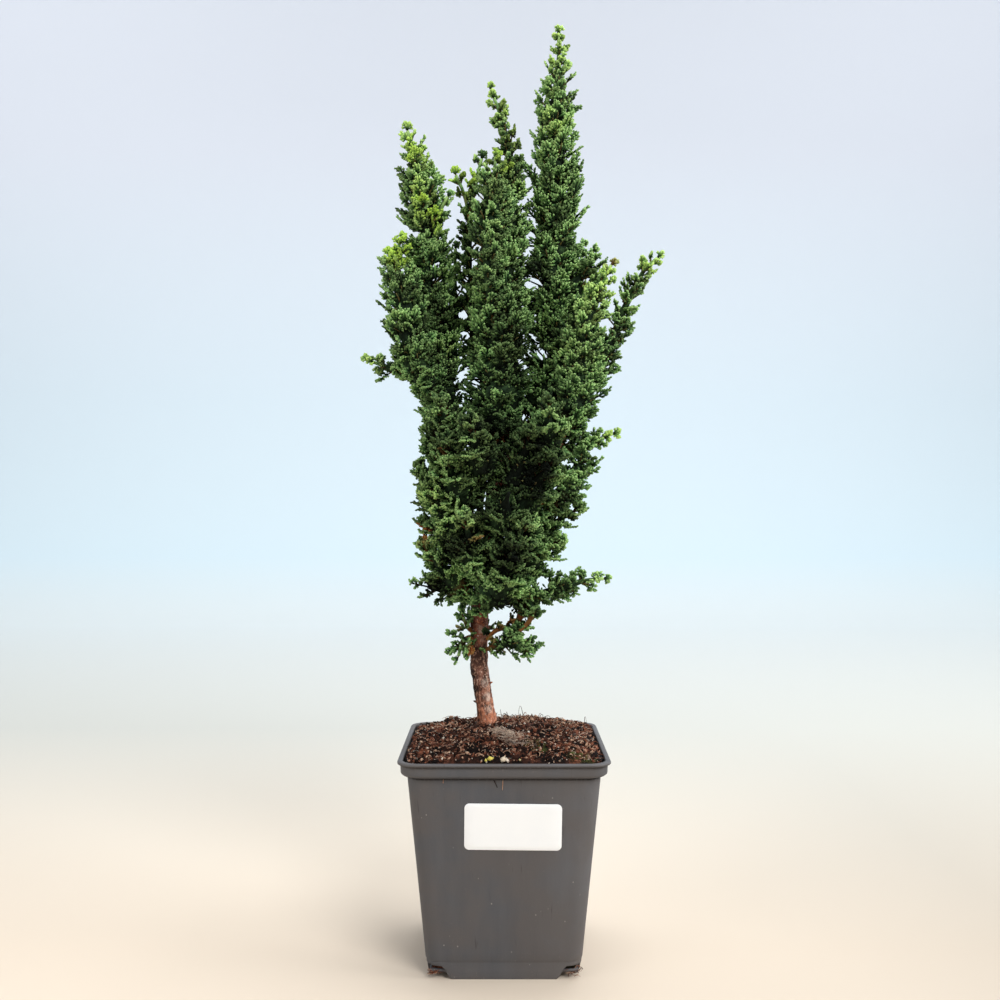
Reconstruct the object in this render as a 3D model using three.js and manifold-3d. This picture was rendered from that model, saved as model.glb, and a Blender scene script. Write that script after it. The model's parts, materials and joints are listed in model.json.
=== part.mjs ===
// Hinoki cypress (Chamaecyparis obtusa) grown as an upright outdoor bonsai in a square nursery pot.
// Millimetres, +Z up, and -Y is the side that carries the label. Sizes and places below are measured from
// the middle of the pot's foot. The finished group is moved sideways, so that its origin lies under the
// middle of the whole plant's outline, on the surface it stands on.
import * as THREE from "three";
import { mergeVertices } from "three/addons/utils/BufferGeometryUtils.js";
import Module from "manifold-3d";

const wasm = await Module();
wasm.setup();

// ---- driving dimensions ----

const GAP = 0.3; // clearance between pieces that touch in the real thing

const POT = {
  height: 115,
  footHalf: 40, // half the width at the foot
  draft: 0.0933, // the wall leans out by this much for each millimetre of height
  wall: 1.15,
  collarBottom: 106.8,
  collarHalf: 53.5,
  lipHalf: 55,
  lipThick: 1.6,
  floorBottom: 3.4, // the floor is raised, to let water out
  floorTop: 4.8,
  cornerAtFoot: 8,
  cornerAtLip: 10,
  notchTop: 7.1, // the corners are cut away up to here: the soil shows, and each side stands on a skirt
  skirtHalf: 30,
  skirtSlant: 3.5,
};

const SOIL = { edge: 110.8, crown: 11.5, crumb: 1.5, rings: 8, clearOfTrunk: 0.4 };

const LABEL = { width: 50, height: 24.5, thick: 0.4, corner: 2.6, x: 4.6, z: 81.5, turn: -0.6 };

// Wood: the trunk first, then the limbs that leave it. Each point is x, y, z, radius.
const WOOD = {
  trunk: [
    [-9.2, 11, 96, 5.6],
    [-9.4, 10.5, 118, 6.4],
    [-9.8, 10, 126, 5.4],
    [-11.4, 9, 140, 4.9],
    [-13.9, 7.5, 162, 4.8],
    [-13.2, 6, 182, 4.7],
    [-12, 4, 200, 4.5],
    [-9.9, 2, 217, 4.2],
    [-6.5, 1, 238, 3.8],
    [-0.5, 2, 262, 3.2],
    [10.2, 4, 283, 2.6],
  ],
  centreLimb: [
    [-8.8, 1.6, 223, 2.9],
    [-7.5, -2, 250, 2.7],
    [-5, -4, 273, 2.4],
  ],
  leftLimb: [
    [-11.3, 3, 207, 3.1],
    [-18.5, 1.5, 235, 2.9],
    [-26, 1, 262, 2.6],
    [-31.5, 2, 287, 2.3],
  ],
  rightLimb: [
    [-5.4, 1, 243, 2.9],
    [6, -6, 254, 2.7],
    [20, -10, 267, 2.5],
    [30.3, -12, 281, 2.3],
  ],
  backLimb: [
    [-7.8, 1.5, 231, 2.6],
    [-6.5, 13, 250, 2.5],
    [-3.5, 23, 268, 2.3],
    [-2.2, 30, 283, 2.1],
  ],
  backRightLimb: [
    [0.4, 2.4, 264, 2.4],
    [12, 14, 275, 2.2],
    [24, 22, 286, 2],
    [32, 26, 295, 1.9],
  ],
  backLeftLimb: [
    [-14.5, 2.2, 220, 2.5],
    [-23, 13, 245, 2.3],
    [-32, 22, 272, 2.1],
    [-36.6, 28, 295, 1.9],
  ],
};

// Leafy leaders, each grown on the end of a limb. Each point is x, y, z and the foliage's reach there.
// The side leaders of a branch are rooted in the first one and grow together with it.
const BRANCHES = {
  branch_tall: [
    [
      [10.5, 4, 283.6, 15],
      [18.6, 5, 313, 20],
      [24.2, 5, 344, 20],
      [27.6, 5, 378, 18],
      [29.2, 5, 411, 15.5],
      [28.6, 4, 445, 13],
      [27.5, 3, 476, 10],
      [28.4, 2, 497, 6],
      [29.7, 2, 511, 1.5],
    ],
  ],
  branch_centre: [
    [
      [-4.9, -4.1, 273.8, 15],
      [-3.7, -8, 304, 22],
      [-2.1, -10, 336, 22],
      [-0.5, -8, 370, 18],
      [2.3, -4, 403, 14],
      [3.5, 0, 435, 9.5],
      [-2.1, 2, 460, 6.5],
      [-7.7, 3, 480, 1.5],
    ],
    [
      [-5, -13, 340, 5],
      [-8.5, -24, 372, 11.5],
      [-6.4, -21, 408, 12],
      [-3.7, -17, 436, 2],
    ],
    [
      [-5, -5, 322, 5],
      [-19.2, 15, 350, 10],
      [-20.3, 16, 380, 10.5],
      [-19.1, 14, 414, 9],
      [-15.7, 12, 446, 1.5],
    ],
    [
      [-19.3, 14.5, 408, 3],
      [-24, 11, 424, 5],
      [-29, 9, 438, 1.5],
    ],
  ],
  branch_left: [
    [
      [-31.7, 2, 287.6, 14],
      [-35.6, 4, 322, 18],
      [-39.1, 6, 355, 15.5],
      [-40.8, 6, 389, 14.5],
      [-44, 4, 419, 11],
      [-49.5, 2, 441, 7],
      [-53.7, 0, 455, 2],
    ],
    [
      [-33, 0, 300, 5],
      [-47, -12, 320, 13],
      [-54.2, -14, 347, 13.5],
      [-56.6, -12, 371, 11],
      [-65, -10, 386, 2],
    ],
    [
      [-44, -9, 314, 4],
      [-62, -11, 318.5, 7.5],
      [-76, -12, 324.5, 1.5],
    ],
    [
      [-42, 4, 385, 4],
      [-34, 0, 402, 5],
      [-29.5, -2, 414, 1.2],
    ],
  ],
  branch_right: [
    [
      [30.7, -12, 281.5, 14],
      [38.5, -16, 308, 18],
      [43.9, -16, 336, 14],
      [48, -14, 357, 9],
      [54.5, -12, 378, 2],
    ],
    [
      [33, -12, 290, 5],
      [50, 1, 301, 11],
      [60.5, 4, 329, 11.5],
      [66, 3, 354, 9],
      [77, 0, 375, 6.5],
      [87, -2, 385, 1.5],
    ],
  ],
  branch_back: [
    [
      [-2.1, 30.3, 283.8, 14],
      [-3.9, 33, 325, 18],
      [-5, 34, 366, 14],
      [-2.1, 32, 401, 10],
      [2.5, 28, 429, 1.5],
    ],
  ],
  branch_back_right: [
    [
      [32.5, 26.3, 295.6, 14],
      [41.6, 30, 336, 15],
      [44.3, 28, 371, 11],
      [45.2, 24, 397, 1.5],
    ],
  ],
  branch_back_left: [
    [
      [-36.8, 28.2, 295.8, 14],
      [-43.1, 32, 337, 15],
      [-45.9, 32, 372, 11],
      [-43.9, 28, 403, 1.5],
    ],
  ],
  spur_right: [
    [
      [24, -11, 272, 2.5],
      [38, -7, 274, 6.5],
      [52, -5, 280, 7.5],
      [64.5, -5, 287, 1.5],
    ],
  ],
  spur_low_right: [
    [
      [-8, 4, 190, 2.5],
      [6, 0, 193, 9],
      [20, -4, 198, 9],
      [36, -8, 204.5, 8],
      [57, -10, 207, 1.5],
    ],
  ],
};

// Short shoots fill the lower crown: one every few millimetres up the wood, each turned by the golden angle.
const SHOOTS = { count: 36, lowest: 186, highest: 278, reach: 19, rise: 24, inset: 7, seed: 11 };

// Outline of the lower crown by height: z, centre x, half width, half depth.
const CROWN = [
  [190, -11, 30, 27],
  [204, -10, 36, 33],
  [226, -8, 43, 38],
  [249, -3, 48, 42],
  [271, -2, 49, 44],
  [310, -1, 49, 44],
];

// Two tufts low on the trunk: start on the wood, then x, y, z and reach along each.
const LOW_TUFTS = {
  tuft_low_left: [
    [-14, 6, 169, 2],
    [-20, 2, 172, 6.5],
    [-27, -2, 169, 6.5],
    [-29.5, -4, 163.5, 2],
  ],
  tuft_low_right: [
    [-13.5, 6, 169, 2],
    [-4, 0, 173, 7.5],
    [8, -6, 171, 9.5],
    [14, -8, 168, 4],
  ],
  tuft_low_back: [
    [-13.5, 7, 172, 2],
    [-9, 18, 176, 7.5],
    [-6, 27, 175, 3],
  ],
};

// Shares of a stem's reach, and millimetres for the bare stem and the blade's thickness.
const LEAF = { valley: 0.5, tuft: 0.86, fan: 1.1, sides: 8, lobes: 3, stem: 1.2, thick: 1.4 };

// Steps along a stem from one row of tufts to the next and from one fan to the next, and where fans begin.
const GROWTH = {
  leader: { ringStep: 10, fanStep: 20, fansFrom: 0 },
  shoot: { ringStep: 7.5, fanStep: 24, fansFrom: 0.9 },
};
const ROOT_GAPS = [0.85, 1.05, 1.25, 1.45]; // from the wood's skin to the middle of a stem's end, tried in turn
const GOLDEN_ANGLE = Math.PI * (3 - Math.sqrt(5));

const COLOURS = {
  pot: 0x55575a,
  soil: 0x3a221b,
  label: 0xf4f1ee,
  bark: 0x6b4234,
  leaf: 0x2f5a2a,
};

// ---- helpers ----

function seeded(seed) {
  let state = seed;
  return () => {
    state = (state * 1664525 + 1013904223) % 4294967296;
    return state / 4294967296;
  };
}

function solidOf(geometry) {
  const flat = geometry.index ? geometry.toNonIndexed() : geometry;
  const bare = new THREE.BufferGeometry().setAttribute("position", flat.getAttribute("position"));
  const merged = mergeVertices(bare, 1e-4);
  return new wasm.Manifold(
    new wasm.Mesh({
      numProp: 3,
      vertProperties: merged.attributes.position.array,
      triVerts: new Uint32Array(merged.index.array),
    }),
  );
}

function geometryOf(solid) {
  const mesh = solid.getMesh();
  const positions = new Float32Array(mesh.numVert * 3);
  for (let i = 0; i < mesh.numVert; i++) {
    positions.set(mesh.vertProperties.subarray(i * mesh.numProp, i * mesh.numProp + 3), i * 3);
  }
  return new THREE.BufferGeometry()
    .setAttribute("position", new THREE.BufferAttribute(positions, 3))
    .setIndex(new THREE.BufferAttribute(mesh.triVerts, 1));
}

// A closed skin over a stack of rings with equal numbers of points, first ring at the bottom.
function loft(rings, splitAt = () => false) {
  const sides = rings[0].length;
  const positions = rings.flat().flatMap((p) => [p.x, p.y, p.z]);
  const faces = [];
  for (let k = 0; k + 1 < rings.length; k++) {
    for (let i = 0; i < sides; i++) {
      const a = k * sides + i;
      const b = k * sides + ((i + 1) % sides);
      const [c, d] = [b + sides, a + sides];
      faces.push(...(splitAt(k, i) ? [a, b, d, b, c, d] : [a, b, c, a, c, d]));
    }
  }
  const top = (rings.length - 1) * sides;
  for (let i = 1; i + 1 < sides; i++) {
    faces.push(0, i + 1, i);
    faces.push(top, top + i, top + i + 1);
  }
  return new THREE.BufferGeometry()
    .setAttribute("position", new THREE.Float32BufferAttribute(positions, 3))
    .setIndex(faces);
}

// A level square ring with rounded corners.
function squareRing(half, corner, z, steps = 3) {
  const points = [];
  for (let quarter = 0; quarter < 4; quarter++) {
    const middle = (quarter + 0.5) * (Math.PI / 2);
    const [cx, cy] = [Math.sign(Math.cos(middle)), Math.sign(Math.sin(middle))];
    for (let s = 0; s <= steps; s++) {
      const a = (quarter + s / steps) * (Math.PI / 2);
      const x = cx * (half - corner) + corner * Math.cos(a);
      const y = cy * (half - corner) + corner * Math.sin(a);
      points.push(new THREE.Vector3(x, y, z));
    }
  }
  return points;
}

// Points along a smooth route with a carried frame: centre, tangent, two normals, and the route's 4th value.
function stations(route, step) {
  const curve = new THREE.CatmullRomCurve3(
    route.map(([x, y, z]) => new THREE.Vector3(x, y, z)),
    false,
    "centripetal",
  );
  const count = Math.max(3, Math.round(curve.getLength() / step));
  const out = [];
  let normal = new THREE.Vector3(0.3, 1, 0.1);
  for (let k = 0; k <= count; k++) {
    const t = k / count;
    const u = curve.getUtoTmapping(t);
    const tangent = curve.getTangent(u);
    normal = normal.clone().addScaledVector(tangent, -normal.dot(tangent)).normalize();
    const span = u * (route.length - 1);
    const j = Math.min(Math.floor(span), route.length - 2);
    const size = THREE.MathUtils.lerp(route[j][3], route[j + 1][3], span - j);
    out.push({
      centre: curve.getPoint(u),
      tangent,
      normal,
      side: new THREE.Vector3().crossVectors(tangent, normal),
      size,
      t,
    });
  }
  return out;
}

function around(station, angle) {
  return station.normal
    .clone()
    .multiplyScalar(Math.cos(angle))
    .addScaledVector(station.side, Math.sin(angle));
}

// ---- the pot ----

function wallHalf(z) {
  return POT.footHalf + POT.draft * z;
}

function makePot() {
  const { height, wall, collarBottom, collarHalf, lipHalf, lipThick, floorTop, floorBottom } = POT;
  const foot = POT.cornerAtFoot;
  const lip = POT.cornerAtLip;
  const outside = loft([
    squareRing(wallHalf(0), foot, 0),
    squareRing(wallHalf(9.4), foot, 9.4),
    squareRing(wallHalf(9.8) + 0.25, foot + 0.2, 9.8),
    squareRing(wallHalf(collarBottom), lip - 0.8, collarBottom),
    squareRing(collarHalf - 1.2, lip - 0.5, collarBottom + 0.3),
    squareRing(collarHalf - 0.2, lip - 0.2, collarBottom + 1.5),
    squareRing(collarHalf, lip - 0.2, height - lipThick - 0.4),
    squareRing(lipHalf - 0.3, lip, height - lipThick),
    squareRing(lipHalf, lip, height - 0.6),
    squareRing(lipHalf - 0.6, lip - 0.3, height),
  ]);
  const inside = loft([
    squareRing(wallHalf(floorTop) - wall, foot - 0.8, floorTop),
    squareRing(wallHalf(collarBottom + 0.8) - wall, lip - 1.6, collarBottom + 0.8),
    squareRing(collarHalf - wall - 0.4, lip - 1.2, collarBottom + 2),
    squareRing(collarHalf - wall, lip - 1.2, height + 1),
  ]);
  const under = loft([
    squareRing(wallHalf(0) - wall, foot - 0.8, -1),
    squareRing(wallHalf(floorBottom) - wall, foot - 0.8, floorBottom),
  ]);
  let pot = solidOf(outside).subtract(solidOf(inside)).subtract(solidOf(under));
  for (const cutter of [...cornerNotches(), ...drainHoles()]) {
    pot = pot.subtract(cutter);
  }
  return geometryOf(pot);
}

// Each corner is open from the ground up to the notch's top; the skirts' ends slant.
function cornerNotches() {
  const inner = POT.footHalf - 4;
  const outer = POT.footHalf + 12;
  const end = [
    [POT.skirtHalf, -1],
    [outer, -1],
    [outer, POT.notchTop],
    [POT.skirtHalf + POT.skirtSlant, POT.notchTop],
  ];
  const corners = [
    [1, 1],
    [-1, 1],
    [-1, -1],
    [1, -1],
  ];
  return corners.flatMap(([sx, sy]) => [
    prism(end, inner, outer, (u, v, z) => new THREE.Vector3(sx * u, sy * v, z)),
    prism(end, inner, outer, (u, v, z) => new THREE.Vector3(sx * v, sy * u, z)),
  ]);
}

// An outline of [u, z] points run from one place to another; place turns u, v and z into a point.
function prism(outline, from, to, place) {
  const rings = [from, to].map((v) => outline.map(([u, z]) => place(u, v, z)));
  const solid = solidOf(loft(rings));
  return solid.volume() > 0 ? solid : solidOf(loft(rings.reverse()));
}

// Round holes in the floor: one in the middle and one near each corner.
function drainHoles() {
  const places = [
    [0, 0, 6],
    [24, 24, 4.5],
    [-24, 24, 4.5],
    [-24, -24, 4.5],
    [24, -24, 4.5],
  ];
  return places.map(([x, y, radius]) => {
    const hole = new THREE.CylinderGeometry(radius, radius, 6, 12);
    hole.rotateX(Math.PI / 2);
    hole.translate(x, y, (POT.floorTop + POT.floorBottom) / 2);
    return solidOf(hole);
  });
}

// ---- the soil ----

function makeSoil(trunkClearance) {
  const random = seeded(5);
  const foot = POT.cornerAtFoot;
  const lip = POT.cornerAtLip;
  const wallAt = (z) => wallHalf(z) - POT.wall - GAP;
  const topHalf = POT.collarHalf - POT.wall - 0.4 - GAP;
  const rings = [
    squareRing(wallAt(POT.floorTop + GAP), foot - 1, POT.floorTop + GAP, 5),
    squareRing(wallAt(POT.collarBottom + 0.8) - 0.1, lip - 2, POT.collarBottom + 1, 5),
    squareRing(topHalf - 0.2, lip - 1.6, POT.collarBottom + 2.5, 5),
    squareRing(topHalf - 0.3, lip - 1.6, SOIL.edge, 5),
  ];
  // The surface swells to a low mound round the trunk, square at the wall and rounder inwards, and is
  // crumbled by a random step at each point.
  const edge = rings[rings.length - 1];
  for (let k = 1; k < SOIL.rings; k++) {
    const share = 1 - k / SOIL.rings;
    rings.push(
      edge.map((p) => {
        const round = p.clone().setZ(0).setLength(topHalf);
        const q = p.clone().setZ(0).lerp(round, 1 - share).multiplyScalar(share);
        const step = new THREE.Vector3(random() - 0.5, random() - 0.5, random() - 0.5);
        q.z = SOIL.edge + SOIL.crown * Math.pow(Math.max(0, 1 - (q.length() / topHalf) ** 2), 0.8);
        return q.addScaledVector(step, SOIL.crumb * (0.6 + 2 * share));
      }),
    );
  }
  return geometryOf(solidOf(loft(rings)).subtract(trunkClearance));
}

// ---- the label ----

function makeLabel() {
  const { width, height, thick, corner, x, z, turn } = LABEL;
  const [w, h] = [width / 2, height / 2];
  const shape = new THREE.Shape();
  shape.moveTo(-w + corner, -h);
  shape.lineTo(w - corner, -h);
  shape.absarc(w - corner, -h + corner, corner, -Math.PI / 2, 0);
  shape.absarc(w - corner, h - corner, corner, 0, Math.PI / 2);
  shape.absarc(-w + corner, h - corner, corner, Math.PI / 2, Math.PI);
  shape.absarc(-w + corner, -h + corner, corner, Math.PI, Math.PI * 1.5);
  const geometry = new THREE.ExtrudeGeometry(shape, { depth: thick, bevelEnabled: false, curveSegments: 3 });
  const label = new THREE.Mesh(geometry);
  // The face looks along -Y and leans back with the wall.
  label.rotation.set(Math.PI / 2 + Math.atan(POT.draft), 0, 0);
  label.rotateZ(THREE.MathUtils.degToRad(turn));
  label.position.set(x, -(wallHalf(z) + GAP), z);
  return label;
}

// ---- the wood ----

function limb(route, grow = 0, sides = 8, step = 9) {
  const rings = stations(route, step).map((s) =>
    Array.from({ length: sides }, (_, i) =>
      s.centre.clone().addScaledVector(around(s, (i / sides) * Math.PI * 2), s.size + grow),
    ),
  );
  return solidOf(loft(rings));
}

function makeWood() {
  let wood = limb(WOOD.trunk, 0, 9, 11);
  for (const [name, route] of Object.entries(WOOD)) {
    if (name !== "trunk") {
      wood = wood.add(limb(route, 0, 6, 16));
    }
  }
  return wood;
}

// ---- the foliage ----

// Every leafy stem, as a list of places along its axis and the foliage's reach there.
const woodPlaces = Object.values(WOOD).flatMap((route) => stations(route, 2));
const stems = [];

function addStem(node, route, growth, rooted = false) {
  const seed = 17 + stems.length * 31;
  stems.push({ node, route, growth, rooted, seed, places: stations(route, 3) });
}

// How far foliage may reach from a place on a stem before it nears the wood or another node's foliage.
function room(stem, centre, reach, towards, wanted) {
  let length = wanted;
  const point = new THREE.Vector3();
  const blocked = () => {
    point.copy(centre).addScaledVector(towards, length);
    const woody = woodPlaces.some((w) => point.distanceTo(w.centre) < w.size + 1);
    const crowded = stems.some(
      (other) =>
        other.node !== stem.node &&
        other.places.some((q) => point.distanceTo(q.centre) / q.size < length / reach + 0.1),
    );
    return woody || crowded;
  };
  while (length > LEAF.stem && blocked()) {
    length -= 0.5;
  }
  return Math.max(length, LEAF.stem);
}

// The dense heart of a leafy stem: a slim body whose skin is drawn out into rows of leaf tufts.
function makeHeart(stem) {
  const random = seeded(stem.seed);
  const step = stem.growth.ringStep;
  const line = stations(stem.route, step);
  const last = line.length - 1;
  const rings = line.map((s, k) =>
    Array.from({ length: LEAF.sides }, (_, i) => {
      const angle = ((i + (k % 2) * 0.25) / LEAF.sides) * Math.PI * 2;
      const out = around(s, angle);
      if (k === 0) {
        return s.centre.clone().addScaledVector(out, stem.rooted ? 2 : LEAF.stem);
      }
      const tip = (i + k) % 2 === 0;
      const share = k === last ? 0.4 : tip ? LEAF.tuft * (0.85 + 0.3 * random()) : LEAF.valley;
      const length = room(stem, s.centre, s.size, out, s.size * share);
      const lean = tip ? Math.min(0.45 * length, 0.6 * step) : 0;
      return s.centre.clone().addScaledVector(out, length).addScaledVector(s.tangent, lean);
    }),
  );
  return solidOf(loft(rings, (k, i) => (i + k) % 2 === 0));
}

// A flat fan of scale-leaved twigs: a thin arched blade, cut between its lobes. It grows along +X from the
// origin, with its flat face up. extra swells it, for testing what it would touch.
function fan(length, extra = 0) {
  const outline = [];
  const spread = 0.52;
  const root = 0.9 + extra;
  outline.push([0, -root]);
  for (let j = 0; j < LEAF.lobes; j++) {
    const off = j - (LEAF.lobes - 1) / 2;
    const angle = off * spread;
    const reach = length * (1 - 0.09 * Math.abs(off)) + extra;
    if (j > 0) {
      const between = angle - spread / 2;
      const cut = length * 0.58 + extra;
      outline.push([cut * Math.cos(between), cut * Math.sin(between)]);
    }
    outline.push([reach * Math.cos(angle), reach * Math.sin(angle)]);
  }
  outline.push([0, root]);
  const shape = new THREE.Shape(outline.map(([u, v]) => new THREE.Vector2(u, v)));
  const thick = LEAF.thick + 2 * extra;
  const geometry = new THREE.ExtrudeGeometry(shape, { depth: thick, bevelEnabled: false });
  const p = geometry.getAttribute("position");
  for (let i = 0; i < p.count; i++) {
    const [u, v] = [p.getX(i), p.getY(i)];
    p.setZ(i, p.getZ(i) - thick / 2 - (0.1 * v * v) / length - (0.08 * u * u) / length);
  }
  return geometry;
}

// Puts a fan at a place, growing towards a direction and rolled about it.
function placed(geometry, from, towards, roll, up) {
  const along = towards.clone().normalize();
  const side = new THREE.Vector3().crossVectors(up, along).normalize();
  const face = new THREE.Vector3().crossVectors(along, side);
  const turned = new THREE.Matrix4().makeBasis(along, side, face);
  turned.multiply(new THREE.Matrix4().makeRotationX(roll)).setPosition(from);
  return solidOf(geometry.clone().applyMatrix4(turned));
}

function overlap(a, b) {
  const [p, q] = [a.boundingBox(), b.boundingBox()];
  const apart = [0, 1, 2].some((i) => p.min[i] > q.max[i] || q.min[i] > p.max[i]);
  return !apart && !a.intersect(b).isEmpty();
}

// Whether a solid of this stem's node touches nothing that another node has taken.
function isClear(stem, solid, taken) {
  return taken.every((other) => other.node === stem.node || !overlap(solid, other.solid));
}

// Fans stand out of the heart all round, turned by the golden angle from one to the next.
function growFans(stem, taken) {
  const random = seeded(stem.seed + 7);
  const line = stations(stem.route, stem.growth.fanStep);
  const fans = [];
  line.forEach((s, k) => {
    if (s.t <= stem.growth.fansFrom || s.size < 4) {
      return;
    }
    for (let attempt = 0; attempt < 9; attempt++) {
      const angle = k * GOLDEN_ANGLE + stem.seed + attempt * 0.7;
      const out = around(s, angle);
      const up = 0.75 + 0.5 * random();
      const towards = out.clone().addScaledVector(s.tangent, up).normalize();
      const from = s.centre.clone().addScaledVector(out, LEAF.stem * 0.5);
      const length = ((s.size * LEAF.fan) / towards.dot(out)) * (attempt > 4 ? 0.8 : 1);
      const roll = (random() - 0.5) * 2.2;
      const swollen = placed(fan(length, GAP), from, towards, roll, s.tangent);
      if (isClear(stem, swollen, taken)) {
        const blade = placed(fan(length), from, towards, roll, s.tangent);
        fans.push(blade);
        taken.push({ node: stem.node, solid: blade });
        return;
      }
    }
  });
  return fans;
}

function crownAt(z) {
  const j = Math.max(0, Math.min(CROWN.length - 2, CROWN.findIndex((row) => row[0] > z) - 1));
  const share = (z - CROWN[j][0]) / (CROWN[j + 1][0] - CROWN[j][0]);
  return CROWN[j].map((value, i) => THREE.MathUtils.lerp(value, CROWN[j + 1][i], share));
}

// The place on the wood at a height that lies nearest to a direction from the crown's middle.
function woodAt(z, towards) {
  const near = woodPlaces.filter((w) => Math.abs(w.centre.z - z) < 1.6);
  return near.reduce((best, w) => (w.centre.dot(towards) > best.centre.dot(towards) ? w : best));
}

// A short shoot from the wood out to the crown's outline, arching up a little.
function shootRoute(k, random) {
  const z = THREE.MathUtils.lerp(SHOOTS.lowest, SHOOTS.highest, k / (SHOOTS.count - 1));
  const angle = k * GOLDEN_ANGLE + 0.5 * random();
  const out = new THREE.Vector3(Math.cos(angle), Math.sin(angle), 0);
  const wood = woodAt(z, out);
  const [, cx, halfWidth, halfDepth] = crownAt(z + SHOOTS.rise);
  const tip = new THREE.Vector3(
    cx + (halfWidth - SHOOTS.inset) * out.x,
    (halfDepth - SHOOTS.inset) * out.y,
    z + SHOOTS.rise,
  );
  const start = wood.centre.clone();
  const run = tip.clone().sub(start);
  start.addScaledVector(run.clone().normalize(), wood.size + 0.7);
  const at = (share, lift) => start.clone().lerp(tip, share).add(new THREE.Vector3(0, 0, lift));
  const reach = SHOOTS.reach * (0.9 + 0.25 * random());
  return [
    [...start.toArray(), reach * 0.8],
    [...at(0.35, -3).toArray(), reach],
    [...at(0.7, -4).toArray(), reach],
    [...tip.toArray(), reach * 0.6],
  ];
}

// Moves a route's first point out of the wood, to face it across a narrow gap.
function startClear(route, gap = ROOT_GAPS[0]) {
  const first = new THREE.Vector3(...route[0]);
  const next = new THREE.Vector3(...route[1]);
  const step = next.clone().sub(first).normalize();
  const touching = (p) => woodPlaces.some((w) => p.distanceTo(w.centre) < w.size + gap);
  while (touching(first)) {
    first.addScaledVector(step, 0.1);
  }
  return [[...first.toArray(), route[0][3]], ...route.slice(1)];
}

for (const [node, routes] of Object.entries(BRANCHES)) {
  routes.forEach((route, i) => {
    addStem(node, node.startsWith("spur") ? startClear(route) : route, GROWTH.leader, i > 0);
  });
}
for (const [node, route] of Object.entries(LOW_TUFTS)) {
  addStem(node, startClear(route), GROWTH.leader);
}
const shootRandom = seeded(SHOOTS.seed);
for (let k = 0; k < SHOOTS.count; k++) {
  const number = String(k + 1).padStart(2, "0");
  addStem(`shoot_${number}`, startClear(shootRoute(k, shootRandom)), GROWTH.shoot);
}

// A stem whose heart would cross the wood or another stem isn't grown. Fans come last, where there is room.
const wood = makeWood();
const taken = [{ node: "trunk", solid: wood }];
const grown = [];
for (const stem of stems) {
  const bare = stem.route;
  for (const gap of ROOT_GAPS) {
    stem.route = stem.growth === GROWTH.shoot ? startClear(bare, gap) : bare;
    stem.heart = makeHeart(stem);
    if (isClear(stem, stem.heart, taken)) {
      taken.push({ node: stem.node, solid: stem.heart });
      grown.push(stem);
      break;
    }
  }
}
for (const stem of grown) {
  stem.fans = growFans(stem, taken);
}

// ---- assembly ----

const material = (colour, roughness) =>
  new THREE.MeshStandardMaterial({ color: colour, roughness, metalness: 0 });
const finishes = {
  pot: material(COLOURS.pot, 0.55),
  soil: material(COLOURS.soil, 0.95),
  label: material(COLOURS.label, 0.6),
  bark: material(COLOURS.bark, 0.85),
  leaf: material(COLOURS.leaf, 0.6),
};

const bonsai = new THREE.Group();

function addPiece(name, geometry, finish) {
  const mesh = new THREE.Mesh(geometry, finish);
  mesh.name = name;
  bonsai.add(mesh);
}

addPiece("pot", makePot(), finishes.pot);
addPiece("soil", makeSoil(limb(WOOD.trunk, SOIL.clearOfTrunk, 9, 11)), finishes.soil);
const label = makeLabel();
label.name = "label";
label.material = finishes.label;
bonsai.add(label);
addPiece("trunk", geometryOf(wood), finishes.bark);

for (const node of new Set(grown.map((stem) => stem.node))) {
  const own = grown.filter((stem) => stem.node === node);
  const whole = own.flatMap((stem) => [stem.heart, ...stem.fans]).reduce((sum, part) => sum.add(part));
  addPiece(node, geometryOf(whole), finishes.leaf);
}

const outline = new THREE.Box3().setFromObject(bonsai);
const middle = outline.getCenter(new THREE.Vector3());
bonsai.position.set(-middle.x, -middle.y, -outline.min.z);

export default bonsai;
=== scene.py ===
import json
import math

import bpy
import numpy as np
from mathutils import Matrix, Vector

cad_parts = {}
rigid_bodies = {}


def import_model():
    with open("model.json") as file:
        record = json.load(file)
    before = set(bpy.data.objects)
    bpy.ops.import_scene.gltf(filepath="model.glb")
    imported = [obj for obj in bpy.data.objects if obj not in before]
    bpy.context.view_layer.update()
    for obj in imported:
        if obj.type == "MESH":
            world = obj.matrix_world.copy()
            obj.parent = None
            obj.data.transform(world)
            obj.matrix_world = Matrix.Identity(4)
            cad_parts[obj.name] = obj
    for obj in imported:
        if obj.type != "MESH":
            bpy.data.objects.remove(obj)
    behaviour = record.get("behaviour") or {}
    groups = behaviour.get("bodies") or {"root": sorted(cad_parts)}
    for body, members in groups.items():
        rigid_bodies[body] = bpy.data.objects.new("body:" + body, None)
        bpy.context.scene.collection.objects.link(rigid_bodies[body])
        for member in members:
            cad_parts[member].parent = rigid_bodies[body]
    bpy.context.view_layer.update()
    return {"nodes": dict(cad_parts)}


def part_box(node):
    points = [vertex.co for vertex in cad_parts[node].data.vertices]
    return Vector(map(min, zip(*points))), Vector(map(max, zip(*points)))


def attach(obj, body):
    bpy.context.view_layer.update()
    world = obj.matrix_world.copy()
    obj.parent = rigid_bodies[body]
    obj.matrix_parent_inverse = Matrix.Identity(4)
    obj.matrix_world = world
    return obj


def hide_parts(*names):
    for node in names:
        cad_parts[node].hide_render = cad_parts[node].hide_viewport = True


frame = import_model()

# Sizes are millimetres from the middle of the pot's foot, and toFrame moves them to the frame in metres.
millimetre = 0.001
goldenAngle = math.pi * (3 - math.sqrt(5))
cameraSetup = {"at": (-2.1, -620, 249), "lens": 40.2}
potLow, potHigh = (np.array(corner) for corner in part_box("pot"))
potFoot = np.array([(potLow[0] + potHigh[0]) / 2, (potLow[1] + potHigh[1]) / 2, potLow[2]])


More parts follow.
